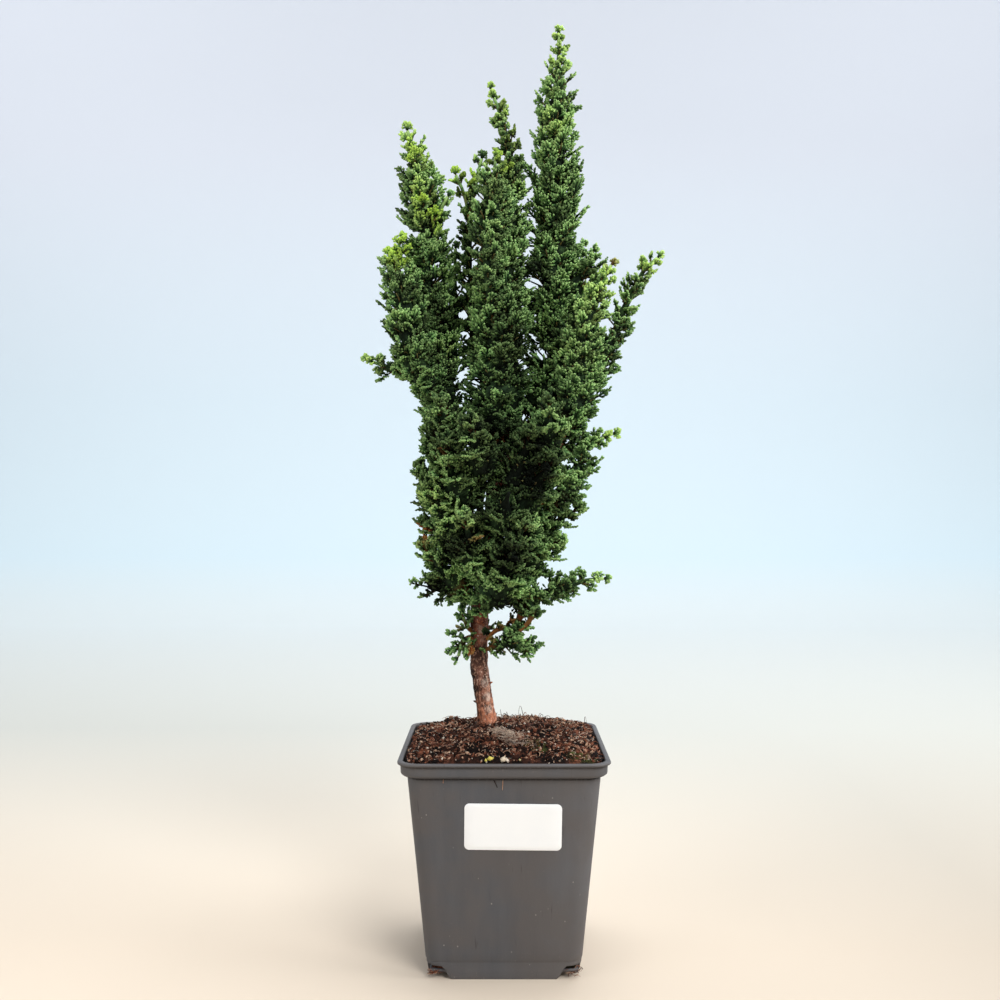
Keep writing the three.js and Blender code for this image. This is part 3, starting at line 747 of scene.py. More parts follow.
# The trunk, its limbs and its stubs are one piece, painted by height and side.
def makeWood():
    s = barkShape
    parts = []
    for seed, (name, route) in enumerate(woodRoutes.items()):
        rows, sides = (s["rows"], s["sides"]) if name == "trunk" else (s["limbRows"], s["limbSides"])
        parts.append(barkTube(route, rows, sides, seed * 20))
    # Broken-off twigs: short stubs from the trunk's middle line, each height, turn and length.
    high, turn, length = np.array(s["stubs"]).T
    trunk = woodCurves["trunk"]
    start = np.column_stack([*(np.interp(high, trunk[:, 2], trunk[:, k]) for k in (0, 1)), high])
    turn = np.radians(turn)
    heading = unit(np.column_stack([np.cos(turn), np.sin(turn), turn * 0 + 0.3]))
    normal = np.column_stack([-np.sin(turn), np.cos(turn), turn * 0])
    radius = turn * 0 + s["stubRadius"]
    stubs = cords(start, heading, normal, length, radius, turn * 0, s["stubProfile"], 8, 1.0)[:2]
    count = sum(len(points) for points, _ in parts)
    points, faces = joined([*parts, stubs])
    low = np.clip((146 - points[:, 2]) / 18, 0, 1)
    high = np.clip((points[:, 2] - 160) / 16, 0, 1)
    low[count:], high[count:] = 0, 1
    # The side away from the light is darker: how far left of the trunk's middle a point is, in radii.
    left = (np.interp(points[:, 2], trunk[:, 2], trunk[:, 0]) - points[:, 0]) / 4.8
    shaded = np.maximum(np.clip(left * 1.4 - 0.38, 0, 0.85), ballShare(points, s["shaded"]))
    paint = np.column_stack([low, high, ballShare(points, s["bare"]), shaded])
    makePiece("trunkWood", points, faces, bark, ["trunk"], paint)


makeWood()
print("wood is ready")


# Leafy leaders with their side leaders. Each line is how yellow-green its ends are, and its points: x, y, z
# and the foliage's reach there.
leaders = {
    "branch_tall": [
        (0.3, [(10.5, 4, 283.6, 14), (22, 6, 306, 17), (27.5, 6, 328, 17.5), (27, 5, 350, 18),
               (27.2, 5, 378, 17.5), (29.1, 5, 409, 16.3), (28.5, 4, 446, 13.2), (29.3, 3, 471, 10.6),
               (30.6, 2, 495, 6.5), (30.4, 2, 509, 2)]),
        (0.2, [(28, 5, 350, 8), (39, 3, 366, 11.5), (46.5, 1, 379, 8), (49.5, 0, 387, 2.5)]),
    ],
    "branch_centre": [
        (0.3, [(-4.9, -4.1, 273.8, 15), (-3.7, -8, 304, 18.5), (-2.1, -10, 336, 18), (-0.9, -8, 370, 15.8),
               (1.8, -4, 403, 12.8), (3.6, 0, 435, 9.4), (-1, 2, 460, 7), (-7.2, 3, 478, 2.5)]),
        (0.4, [(-5, -13, 340, 5), (-8.5, -24, 372, 11.5), (-6.4, -21, 408, 12), (-4.5, -17, 434, 3)]),
        (0.1, [(-17, 5, 230, 5), (-13.5, 5, 243, 8), (-10.5, 3, 257, 5)]),
        (0.3, [(-9, 4, 300, 8), (-18, 14, 345, 11.5), (-19.2, 16, 380, 9.8), (-18.6, 14, 414, 7.4),
               (-15, 12, 432, 6.5), (-12.5, 12, 442, 3)]),
        (0.4, [(-19.3, 14.5, 408, 3), (-22.5, 11, 422, 5.5), (-27, 9, 432, 3.5)]),
    ],
    "branch_left": [
        (0.3, [(-31.7, 2, 287.6, 9.5), (-35.6, 4, 319, 15.5), (-39.8, 6, 355, 15.8), (-43.6, 6, 389, 14.4),
               (-46, 4, 419, 12.6), (-49.8, 2, 441, 8), (-53.4, 0, 454, 3)]),
        (0.3, [(-33, 0, 300, 5), (-46, -12, 320, 13), (-53, -14, 347, 13), (-56, -12, 369, 11),
               (-63, -10, 383, 3)]),
        (0.6, [(-58, -13, 366, 5), (-58.5, -11, 380, 8.5), (-56.5, -9, 392, 3)]),
        (0.3, [(-44, -9, 316, 5), (-60, -11, 320.5, 8.5), (-68, -12, 323, 5.8), (-74, -12, 325, 2.5)]),
        (0.3, [(-42, 4, 398, 4), (-35, 0, 410, 4.5), (-31, -2, 417, 2.5)]),
    ],
    "branch_right": [
        (0.3, [(30.7, -12, 281.5, 14), (38.5, -16, 308, 16), (42.5, -16, 336, 13), (49.5, -13, 359, 9),
               (58.5, -11, 377, 3)]),
        (0.3, [(36, -6, 296, 5), (46, -1, 311, 8.5), (56.5, 3, 329, 10.2), (65.5, 3, 352, 8.8),
               (77, 0, 375, 7), (85, -2, 383, 2.5)]),
    ],
    "branch_back": [
        (0.25, [(-2.1, 30.3, 283.8, 14), (-3.9, 33, 325, 16), (-5, 34, 366, 14), (-2.1, 32, 401, 10),
                (2.5, 28, 427, 2)]),
    ],
    "branch_back_right": [
        (0.25, [(32.5, 26.3, 295.6, 14), (41.6, 30, 336, 14), (44.3, 28, 371, 11), (45.2, 24, 395, 2)]),
    ],
    "branch_back_left": [
        (0.25, [(-36.8, 28.2, 295.8, 14), (-43.1, 32, 337, 14), (-45.9, 32, 372, 11), (-43.9, 28, 401, 2)]),
        (0.25, [(-38, 29, 306, 5), (-31, 21, 330, 11), (-28.5, 18, 362, 9.5), (-27.5, 16, 392, 2)]),
    ],
    "spur_right": [
        (0.3, [(24, -11, 272, 3), (38, -7, 277, 7.5), (50, -5, 281.5, 7.5), (56, -5, 284, 5),
               (60, -5, 285.5, 2.3)]),
        (0.2, [(20, -9, 247, 6), (33, -10, 252, 11), (41, -9, 267, 10.3), (44, -9, 279, 5)]),
    ],
    "spur_low_right": [
        (0.2, [(-8, 4, 190, 2.5), (6, 0, 193, 9), (20, -4, 198, 10), (37, -8, 203, 8.5), (48, -9, 205.5, 5.5),
               (54.5, -10, 206, 2)]),
    ],
    "tuft_low_left": [
        (0.1, [(-14, 6, 168, 3), (-19, 2, 172, 8.5), (-23, -2, 170, 8.5), (-25, -4, 163, 4)]),
        (0.1, [(-14.5, 6, 172, 3), (-20, 3, 178, 8), (-22.5, 1, 184, 4.5)]),
    ],
    "tuft_low_right": [
        (0.1, [(-13.5, 6, 164, 3), (-5, 0, 167.5, 9), (6, -6, 170, 11), (13, -8, 169, 5)]),
        (0.1, [(5, -3, 178, 6), (10, -4, 187, 10.5), (11, -4, 196, 8)]),
        (0.1, [(-9.5, 0, 171.5, 5.5), (-4, -3, 177, 8.5), (5, -5, 178.5, 7.5), (10, -6, 173, 4)]),
        (0.1, [(8, -6, 176, 5), (15, -8, 185, 8), (14, -8, 198, 7.5)]),
    ],
    "tuft_low_back": [
        (0.1, [(-13.5, 7, 172, 3), (-9, 18, 176, 8), (-6, 27, 175, 3)]),
    ],
}
# Where the growth is young and yellow-green, and where it has withered: x, y, z, radius and strength.
youngPlaces = [
    (-47, -7, 439, 11, 0.8), (-42, -10, 416, 11, 1.1), (-37, -9, 406, 12, 1.3), (-33, -8, 399, 11, 1.3),
    (-45, -11, 404, 10, 0.9), (-53, -2, 451, 11, 0.6), (-61, -12, 391, 11, 1.2), (-56, -14, 384, 11, 1.2),
    (-55, -12, 395, 9, 0.8), (-5, -18, 437, 11, 1.3), (3, -16, 430, 10, 1.15), (8, -14, 424, 9, 1),
    (-19, 10, 432, 13, 1.1), (-26, 9, 427, 12, 1), (-7, 2, 474, 20, 0.5), (29.5, 1, 503, 22, 0.45),
    (0, 2, 465, 13, 0.45), (7, 2, 450, 12, 0.6), (26, -8, 455, 12, 0.4), (52, -16, 368, 17, 0.5),
    (46, -20, 350, 16, 0.35), (41, -26, 326, 16, 0.25), (84, -2, 381, 14, 0.45), (62, -6, 286, 11, 0.5),
    (-75, -12, 325, 12, 0.4), (-27, -12, 331, 14, 0.4), (55, -11, 206, 12, 0.3), (6, -24, 330, 14, 0.2),
    (-40, -24, 250, 16, 0.2), (-24, -28, 236, 16, 0.2),
]
witheredPlaces = [
    (59, -11, 379, 6, 0.5), (-32, -26, 273, 6, 1), (-43, -12, 230, 6, 0.9), (-15, -34, 231, 6, 0.6),
    (-34, -24, 207, 7, 0.7), (2, -9, 184, 6, 1), (-27, 0, 179, 4.5, 0.7), (-16.5, -3, 167, 4.5, 1.2),
    (-39, -6, 294, 6, 0.6), (-7, -2, 170, 5, 1), (14, -38, 250, 6, 0.4), (-36, -18, 196, 5, 0.7),
]
# Where the growth looks dim from the front, lying deep in shade, and with a strength below 0 where it is
# lit: x and z where the place crosses the plant's middle, radius and strength.
dimPlaces = [
    (14, 378, 11, 0.4), (24, 368, 9, 0.4), (-38, 351, 12, 0.65), (-37, 330, 11, 0.4), (-50, 339, 12, 0.35),
    (3, 343, 14, 0.4), (10, 324, 15, 0.6), (38, 336, 9, 0.3), (-25, 333, 8, 0.3), (24, 308, 11, 0.4),
    (-37, 309, 10, 0.5), (-17, 297, 13, 0.5), (-34, 283, 12, 0.5), (-6, 284, 14, 0.6), (14, 283, 13, 0.6),
    (26, 274, 12, 0.5), (-7, 256, 13, 0.25), (18, 260, 13, 0.5), (30, 248, 13, 0.2), (-14, 245, 10, 0.6),
    (-49, 238, 12, 0.5), (-49, 260, 10, 0.4), (-25, 223, 12, 0.8), (2, 217, 15, 0.75), (-38, 199, 11, 0.75),
    (1, 187, 13, 0.7), (-49, 402, 11, 0.4), (-24, 368, 15, -0.6), (-49, 379, 11, -0.8), (-13, 409, 12, -0.4),
    (40, 360, 10, -0.4), (-13, 325, 10, -0.8), (24, 330, 11, -0.6), (48, 296, 10, -0.3), (36, 260, 10, -0.5),
    (-42, 225, 11, -0.4), (-19, 207, 14, -0.7), (36, 211, 10, -0.8), (12, 200, 9, -0.7), (-25, 194, 9, -0.6),
    (2, 460, 14, -0.4), (-21, 430, 11, -0.5), (0, 428, 12, 0.3),
]
# How light whole nodes are; the shoots of the lower crown stand in more shade than the leaders.
nodeLight = {"branch_centre": 0.8, "branch_tall": 1.15, "branch_left": 1.15, "branch_right": 1.1,
             "spur_right": 1.1, "tuft_low_right": 0.85}
shootLight = 0.82
# Gaps that can be looked through from the front: x, z and radius where each crosses the plant's middle.
gapPlaces = [
    (-13.8, 417, 2.6), (-16.5, 390, 2.4), (-16.8, 380, 2.8), (16.6, 370, 3.4), (15.1, 396, 2.2),
    (46, 371, 2.2), (57.5, 346, 3.8), (-14.5, 314, 3.2), (17, 301.5, 2.8), (13, 295.5, 2.8),
    (-20.5, 341, 2.4), (-37.8, 379.5, 2), (-38.4, 371, 2.2), (-20, 372, 2.2), (-23.4, 365, 2.2),
    (21.2, 329, 2.4), (21.2, 323, 2), (27.8, 306.5, 2), (2.6, 164.5, 2.2), (12.2, 174, 2.2),
    (21.2, 203, 3), (-4.3, 185, 4.2), (-3.8, 176, 3.4), (14.6, 388, 2), (-22, 352, 1.8),
    (30, 462, 1.6), (-48, 396, 1.8),
]
# Stems that shoots of the lower crown carry besides their own, and how far out some shoots end, as a
# share of their node's half width.
sideShoots = {
    "shoot_05": [(-16, 4, 197, 5), (-30, 1, 198, 8.5), (-42, -3, 201, 8)],
    "shoot_21": [(-20, -4, 240, 5), (-14.5, -12, 251, 9), (-13, -18, 262, 7)],
    "shoot_08": [(-12, -4, 214, 5), (-15, -14, 228, 9), (-14, -18, 241, 6)],
    "shoot_24": [(3, -8, 262, 5), (12, -15, 272, 8.5), (16, -19, 282, 5)],
    "shoot_19": [(18, -5, 238, 5), (28, -9, 246, 8.5), (31, -11, 258, 6)],
}
shootEnds = {"shoot_31": -0.5, "shoot_34": 0, "shoot_26": -0.4, "shoot_23": 0.15, "shoot_18": 0.35,
             "shoot_10": 0.15, "shoot_05": 0.2, "shoot_06": 0.6, "shoot_09": 0.6, "shoot_14": 0.5}

# hollow is a pocket in the front of the lower crown, an ellipsoid that no spray reaches into, and the growth
# round it is darkened as painted shade. A spray longer than bigSpray has all its fingers, and lowTop is how
# high the lower crown goes.
sprayShape = {
    "levelStep": 5.6,
    "twigSpacing": 12.5,
    "size": (5, 9.6),
    "sizeShare": 0.58,
    "bigSpray": 5.6,
    "cord": 0.94,
    "cordSides": 3,
    "cordFlat": 0.85,
    "twigRadius": 0.6,
    "twigReach": (0.88, 1.1),
    "twigSlant": 0.45,
    "slantRise": 0.3,
    "coverDepth": 7.5,
    "heartSides": 18,
    "tuftChance": 0.75,
    "tuftLength": (2.4, 4.6),
    "lowTop": 335,
    "lookTurns": 16,
    "lookClimbs": (-0.35, 0.15, 0.7),
    "lookCell": 3.5,
    "lookDepth": 4.5,
    "looksNeeded": 9,
    "frontLooks": 2.2,
    "hollow": ((5, -42, 258), (21, 16, 17)),
    "seed": 4021,
}
# How the stems of the lower crown and the leaders differ: step between whorls, room between twigs, sprays
# a twig and where on it they begin, twigs at the tip and how steep they are, and the dark heart's share of
# the reach.
growthHabits = {
    "leader": {"step": 1.0, "room": 1.0, "sprays": 4, "begin": 0.4, "tips": 1, "tipSlant": math.pi / 2,
               "heart": 0.46},
    "shoot": {"step": 1.25, "room": 1.25, "sprays": 6, "begin": 0.5, "tips": 4, "tipSlant": 1.15,
              "heart": 0.5},
}
# Profiles of share and radius: a finger is a blunt club that starts at a point.
cordProfile = [(0, 0.7), (0.8, 1.0), (1.0, 0.0)]
fingerProfile = [(0, 0), (0.76, 1.0), (1.0, 0.0)]
twigProfile = [(0, 1.0), (0.97, 0.75), (1.0, 0.0)]


# A flat spray in its own plane, for a length of 1: fingers left and right of a middle cord in turn, and
# shorter ones on the outside of the first of them. Columns: along, across, angle, length, thickness.
def sprayPlan():
    k = np.arange(7)
    side = np.where(k % 2, -1, 1)
    angle = side * (1.0 - 0.06 * k)
    length = 0.56 - 0.045 * k
    sides = np.stack([0.1 + 0.12 * k, k * 0, angle, length, 0.98 - 0.02 * k], axis=1)
    outer = sides[:5].copy()
    angle, length = angle[:5], length[:5]
    outer[:, 0] += 0.4 * length * np.cos(angle)
    outer[:, 1] = 0.4 * length * np.sin(angle)
    outer[:, 2] = angle - side[:5] * 0.8
    outer[:, 3] = length * 0.72
    return np.concatenate([sides, outer])


plan = sprayPlan()


# The side cords of many sprays: each is placed in its spray's plane, and the plane is bowed towards its
# normal by bow x distance^2 / size. Small sprays have five fingers and no outer ones.
def sideCords(sprays, random):
    heading, normal = sprays["run"][:, None], sprays["face"][:, None]
    size, bow, cord = (sprays[key][:, None] for key in ("size", "bow", "cord"))
    side = np.cross(normal, heading)
    wide = (len(heading), len(plan))
    along, across, angle, length, thick = plan.T
    angle = angle + random.normal(0, 0.15, wide)
    length = np.clip(length * (1 + random.normal(0, 0.17, wide)), 0.22, 0.85) * size
    a, b = along * size, across * size
    start = sprays["root"][:, None] + heading * a[..., None] + side * b[..., None]
    start = start + normal * (bow * (a**2 + b**2) / size)[..., None]
    slope = 2 * bow * (a * np.cos(angle) + b * np.sin(angle)) / size
    run = turned(heading, side, angle)
    run = unit(run + normal * (slope + random.normal(0, 0.13, wide))[..., None])
    pick = ((size > sprayShape["bigSpray"]) | (np.arange(len(plan)) < 5)).ravel()
    owner = np.repeat(np.arange(len(heading)), len(plan))[pick]
    lines = [array.reshape(-1, 3)[pick] for array in (start, run, squareTo(normal, run))]
    return [*lines, *(array.ravel()[pick] for array in (length, thick * cord)), owner]


# How far points look from places as seen from the front: each point is moved along its line from the eye
# to the plane across the plant's middle, and measured there. The places' other columns come back too.
def frontAway(points, places):
    eye = np.array(cameraSetup["at"])
    flat = eye + (points - eye) * (-eye[1] / (points[..., 1] - eye[1]))[..., None]
    x, z, *others = np.array(places).T
    return np.hypot(flat[..., None, 0] - x, flat[..., None, 2] - z), *others


# How light the growth is: nearly nothing inside the hollow, rising to 1 a little way out, and less in the
# dim places, each full within half its radius and fading to its edge.
def dimness(points):
    place, half = np.array(sprayShape["hollow"])
    near = np.clip((np.linalg.norm((points - place) / half, axis=-1) - 0.8) / 0.7, 0.2, 1)
    away, radius, strength = frontAway(points, dimPlaces)
    return near * np.clip(1 - np.sum(fade(away / radius) * strength, axis=-1), 0.15, 1.9)


# Whether points lie in a gap: their distance from its line, which runs from the eye through the plant.
def inGap(points, margin=0.0):
    away, radius = frontAway(points, gapPlaces)
    return np.any(away < radius + margin, axis=-1)


# A slim body along a stem, painted dark as the shade deep in the foliage: a thin green tube at the tip, and
# rough and thicker where the stem's reach is wide and low in the crown, for the sprays to stand out of. Its
# lumps are noise of three sizes, and it is brown where it leaves the wood.
def heart(route, seed, share):
    curve, length = smoothRoute(route, 20)
    curve, _ = smoothRoute(route, max(8, round(length / 2)))
    sides = sprayShape["heartSides"]
    _, first, second = routeFrame(curve[:, :3])
    centre, radius = curve[:, None, :3], curve[:, None, 3]
    out = turned(first[:, None], second[:, None], circleTurns(sides))
    place = centre + out * radius[..., None]
    rough = noise(place / 0.8, seed + 2)
    lumps = 1 + 0.25 * noise(place / 9, seed) + 0.4 * np.abs(noise(place / 3, seed + 1)) + 0.32 * rough
    order = np.arange(len(curve))
    edge = np.minimum(1, np.minimum(order / 9, order[::-1] / 10))[:, None]
    low = np.clip((sprayShape["lowTop"] - centre[..., 2]) / 25, 0, 1) * 0.2
    slim = np.clip((radius - 4) / 8, 0.45, 1)
    reach = 0.9 + np.maximum(radius - 5, 0) * (share + low) * lumps * edge * slim
    reach = np.where(inGap(centre + out * reach[..., None], 1), np.minimum(reach, 1.2), reach)
    points, faces = skin(centre + out * reach[..., None])
    woody = np.repeat(np.clip(1.2 - order / 6, 0, 0.8), sides)
    green = np.repeat(np.clip(1.5 - curve[:, 3] / 6, 0, 1), sides)
    tip = green * 0.9 + np.clip(0.35 + rough.ravel() * 0.5, 0, 0.8) * (1 - green)
    # Painted shade: away from its green tip the heart's depth is low, so it is nearly black, and lower still
    # in the dim places.
    depth = (green * 0.65 + 0.27) * dimness(points)
    return points, faces, np.column_stack([tip, depth, green * 0.3, woody])


# The twigs of one leafy stem. Whorls of them leave it slanting upwards, more of them where its reach is
# wide, and each is turned on from the last by the golden angle.
def planTwigs(stem, random):
    shape, habit = sprayShape, growthHabits[stem["habit"]]
    _, length = smoothRoute(stem["route"], 20)
    levels = max(3, round(length / (shape["levelStep"] * habit["step"])))
    curve, _ = smoothRoute(stem["route"], levels * 8 + 1)
    tangent, first, second = routeFrame(curve[:, :3])
    dense = np.cumsum(1 / (1 + 0.5 * np.clip((10 - curve[:, 3]) / 6, 0, 1)))
    levels = round(levels * dense[-1] / len(dense))
    even = (np.arange(levels) + 0.5) / levels
    place = np.interp(even, dense / dense[-1], np.arange(len(curve))).astype(int)
    room = shape["twigSpacing"] * habit["room"]
    number = np.clip(np.round(2 * math.pi * curve[place, 3] / room), 3, 8).astype(int)
    number[curve[place, 3] < 5.5] = 2
    level = np.repeat(np.arange(levels), number)
    order = np.arange(len(level)) - np.repeat(np.cumsum(number) - number, number)
    turn = order * 2 * math.pi / number[level] + level * goldenAngle + random.normal(0, 0.2, len(level))
    loose = random.normal(0, 2.6, len(level)) * np.minimum(1, curve[place[level], 3] / 12)
    at = np.clip(place[level] + loose, 0, len(curve) - 1).astype(int)
    tips = habit["tips"]
    at = np.append(at, [len(curve) - 1] * tips)
    turn = np.append(turn, circleTurns(tips))
    share = at / (len(curve) - 1)
    out = turned(first[at], second[at], turn)
    slant = shape["twigSlant"] + shape["slantRise"] * share + random.normal(0, 0.13, len(at))
    slant[-tips:] = habit["tipSlant"]
    heading = turned(out, tangent[at], slant)
    reach = curve[at, 3] * random.uniform(*shape["twigReach"], len(at))
    size = np.clip(reach * shape["sizeShare"], *shape["size"])
    free = np.maximum(reach / np.maximum(np.cos(slant), 0.7) - size * 0.8, 0.4)
    across = unit(np.cross(tangent[at], out) + tangent[at] * random.normal(0, 0.5, (len(at), 1)))
    return curve[at], share, out, heading, squareTo(across, heading), reach, size, free


# The flat sprays of one leafy stem: left and right of each twig in turn, with one at its end. Those in the
# hollow, in a gap or deep inside another stem's leaves are left out.
def planStem(stem, random):
    shape, habit = sprayShape, growthHabits[stem["habit"]]
    twigs = planTwigs(stem, random)
    place, share, out, heading, across, reach, size, free = (array[:, None] for array in twigs)
    each = habit["sprays"]
    order = np.arange(each)
    wide = (len(free), each)
    part = habit["begin"] + (1 - habit["begin"]) * order / (each - 1)
    hand = np.where(order % 2, 1, -1) * (order < each - 1)
    root = place[..., :3] + heading * (free * part)[..., None]
    spread = (1.0 - 0.35 * part) * hand + random.normal(0, 0.14, wide)
    run = turned(heading, across, spread)
    run = unit(run + random.normal(0, 0.12, (*wide, 3)) + (0, 0, 0.15))
    face = out * random.uniform(0.2, 1.3, wide)[..., None] - (0, 0, 0.35)
    face = squareTo(face + random.normal(0, 0.35, (*wide, 3)), run)
    young = stem["youth"] * np.clip(0.1 + share * 1.1, 0, 1) * random.uniform(0.4, 1.2, wide)
    few = (free < 3.5) & (order < each - 2)
    size = size * random.uniform(0.82, 1.12, wide) * (0.8 + 0.2 * part)
    bow = random.uniform(-0.3, 0.1, wide)
    cord = shape["cord"] * random.uniform(0.88, 1.1, wide) * np.clip(1.4 - reach / 20, 1, 1.2)
    middle = root + run * size[..., None] * 0.5
    cover = hiddenDepth(middle.reshape(-1, 3), stem).reshape(wide)
    # Painted shade: sprays deep inside other stems' leaves and in the dim places are darker; clump adds
    # lighter and darker clumps at random, and whole nodes are lighter or darker by how much light they get.
    shade = np.clip(1.15 - cover / 12, 0.4, 1) * dimness(middle)
    clump = np.clip(0.95 + 0.75 * noise(middle / 8, 31) + 0.4 * noise(middle / 3.2, 57), 0.2, 1.2)
    clump = clump * nodeLight.get(stem["node"], shootLight if stem["habit"] == "shoot" else 1.0)
    # outer carries the painted shade into the depth channel: darker towards the twig's base, times shade and
    # clump.
    sprays = {
        "root": root, "run": run, "face": face, "size": size, "bow": bow, "cord": cord, "middle": middle,
        "young": young + ballShare(middle, youngPlaces) * random.uniform(0.6, 1.1, wide),
        "withered": ballShare(middle, witheredPlaces) * random.uniform(0.5, 1.1, wide),
        "outer": np.clip(0.35 + 0.65 * part, 0, 1) * shade * clump,
        "twig": np.arange(len(free))[:, None] * np.ones((1, each), int),
    }
    hollowAt, half = np.array(shape["hollow"])
    hollow = np.linalg.norm((middle - hollowAt) / half, axis=-1)
    own = place[..., 3] - np.linalg.norm(middle - place[..., :3], axis=-1)
    keep = ~few & (hollow > 1) & ((cover < shape["coverDepth"]) | (cover < own - 1)) & ~inGap(middle)
    stem["sprays"] = {key: array.reshape(-1, *array.shape[2:])[keep.ravel()] for key, array in sprays.items()}
    start, _, _, heading, across, *_, length = twigs
    stem["twigs"] = [start[:, :3], heading, unit(np.cross(heading, across)), length]


# How far points lie inside the leafy reach of any other stem, in millimetres: reach less the distance.
def hiddenDepth(points, own):
    depth = np.full(len(points), -50.0)
    for stem in stems:
        if stem is not own:
            line = stem["line"]
            gap = np.linalg.norm(points[:, None] - line[None, :, :3], axis=-1)
            depth = np.maximum(depth, np.max(line[:, 3] - gap, axis=1))
    return depth


# From how many sides each point can be seen, with the front ones counting more: a grid of small cells is
# laid square to the view, and the points close behind the nearest one in their cell are seen.
def looksFromOutside(points):
    looks = np.zeros(len(points))
    for climb in sprayShape["lookClimbs"]:
        for turn in circleTurns(sprayShape["lookTurns"]):
            flat = math.cos(climb)
            away = np.array([math.cos(turn) * flat, math.sin(turn) * flat, math.sin(climb)])
            across = np.array([-math.sin(turn), math.cos(turn), 0])
            grid = np.floor(points @ np.stack([across, np.cross(away, across)], 1) / sprayShape["lookCell"])
            _, cell = np.unique(grid, axis=0, return_inverse=True)
            cell = cell.ravel()
            nearest = np.full(cell.max() + 1, -1e9)
            np.maximum.at(nearest, cell, points @ away)
            weight = 1 + sprayShape["frontLooks"] * max(0, -away[1]) ** 2
            looks += weight * (points @ away > nearest[cell] - sprayShape["lookDepth"])
    return looks


# Short shoots, darkened as painted shade, that stand out of the front of a stem's heart, low in the crown.
def heartTufts(stem, points, random):
    line = stem["line"]
    nearest = np.argmin(np.linalg.norm(points[:, None] - line[None, :, :3], axis=-1), axis=1)
    away = points - line[nearest, :3]
    wide = np.linalg.norm(away, axis=-1)
    out = away / np.maximum(wide, 1e-9)[:, None]
    pick = (wide > 2.4) & (out[:, 1] < 0.25) & (points[:, 2] < sprayShape["lowTop"])
    pick = pick & (random.random(len(points)) < sprayShape["tuftChance"])
    count = np.sum(pick)
    heading = unit(out[pick] + (0, 0, 0.5) + random.normal(0, 0.55, (count, 3)))
    face = unit(np.cross(heading, random.normal(0, 1, (count, 3))))
    light = np.clip(0.55 * dimness(points[pick]) * random.uniform(0.5, 1.3, count), 0.14, 1)
    facts = np.column_stack([light, light * 0, light * 0])
    length = random.uniform(*sprayShape["tuftLength"], count)
    start = points[pick] - out[pick] * 0.5
    return start, heading, face, length, length * 0.19, fingerProfile, facts


# The stems of one node become one piece: sprays, twigs, the stem itself and its dark heart.
def growPiece(node, seed):
    shape = sprayShape
    random = np.random.default_rng(shape["seed"] + seed)
    parts = []

    def addCords(start, run, face, length, radius, profile, facts, flat=shape["cordFlat"]):
        sides = shape["cordSides"]
        points, faces, share = cords(start, run, face, length, radius, length * 0, profile, sides, flat)
        facts = np.repeat(facts, len(points) // len(start), axis=0)
        parts.append((points, faces, np.column_stack([share, facts])))

    for stem in stems:
        if stem["node"] != node:
            continue
        sprays = stem["sprays"]
        facts = np.column_stack([sprays["outer"], np.clip(sprays["young"], 0, 1), sprays["withered"]])
        chord = unit(sprays["run"] + sprays["face"] * sprays["bow"][:, None] * 0.7)
        addCords(sprays["root"], chord, sprays["face"], sprays["size"], sprays["cord"], cordProfile, facts)
        fingers = sideCords(sprays, random)
        start, run, _, length, *_ = fingers
        clear = ~(inGap(start) | inGap(start + run * length[:, None], 0.3))
        *lines, owner = (array[clear] for array in fingers)
        addCords(*lines, fingerProfile, facts[owner])
        start, run, face, length = [array[np.unique(sprays["twig"])] for array in stem["twigs"]]
        shade = dimness(start)
        facts = np.column_stack([shade * 0.35, shade * 0, shade * 0.25])
        addCords(start, run, face, length, length * 0 + shape["twigRadius"], twigProfile, facts, 1.0)
        parts.append(heart(stem["route"], seed, growthHabits[stem["habit"]]["heart"]))
        tufts = heartTufts(stem, parts[-1][0], random)
        if len(tufts[0]):
            addCords(*tufts)
    makeMany(node + "_foliage", parts, leaf, [node])


# A shoot of the lower crown runs from the nearest wood to near the top of its node's box, part of the way
# out from the box's middle.
def shootRoute(node):
    low, high = (fromFrame(corner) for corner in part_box(node))
    centre, half = (low + high) / 2, (high - low) / 2
    reach = min(half[0], half[1], 15)
    away = np.linalg.norm(woodPlaces[:, :2] - centre[:2], axis=1) + np.abs(woodPlaces[:, 2] - low[2]) * 2
    near = woodPlaces[np.argmin(away)]
    out = unit((centre - near[:3])[:2])
    tip = np.array([*(centre[:2] + out * half[:2] * shootEnds.get(node, 0.5)), high[2] - 6])
    start = near[:3] + np.array([*out, 0.5]) * near[3] * 0.7
    middle = start * 0.45 + tip * 0.55 - (0, 0, 3)
    return [(*start, reach * 0.7), (*middle, reach), (*tip, reach * 0.55)]


stems = [{"node": node, "youth": youth, "route": route, "habit": "leader"}
         for node, lines in leaders.items() for youth, route in lines]
shootNodes = sorted(node for node in frame["nodes"] if node.startswith("shoot_"))
stems += [{"node": node, "youth": 0.25, "route": shootRoute(node), "habit": "shoot"} for node in shootNodes]
stems += [{"node": node, "youth": 0.25, "route": route, "habit": "leader"}
          for node, route in sideShoots.items()]
for stem in stems:
    stem["line"] = smoothRoute(stem["route"], 30)[0]
for seed, stem in enumerate(stems):
    planStem(stem, np.random.default_rng(sprayShape["seed"] + 200 + seed))
looks = looksFromOutside(np.concatenate([stem["sprays"]["middle"] for stem in stems]))
done = 0
for stem in stems:
    number = len(stem["sprays"]["size"])
    seen = looks[done:done + number] >= sprayShape["looksNeeded"]
    stem["sprays"] = {key: array[seen] for key, array in stem["sprays"].items()}
    done += number
print("sprays planned", done, "and seen", np.sum(looks >= sprayShape["looksNeeded"]))
for seed, node in enumerate([*leaders, *shootNodes]):
    growPiece(node, seed)
print("foliage is ready")


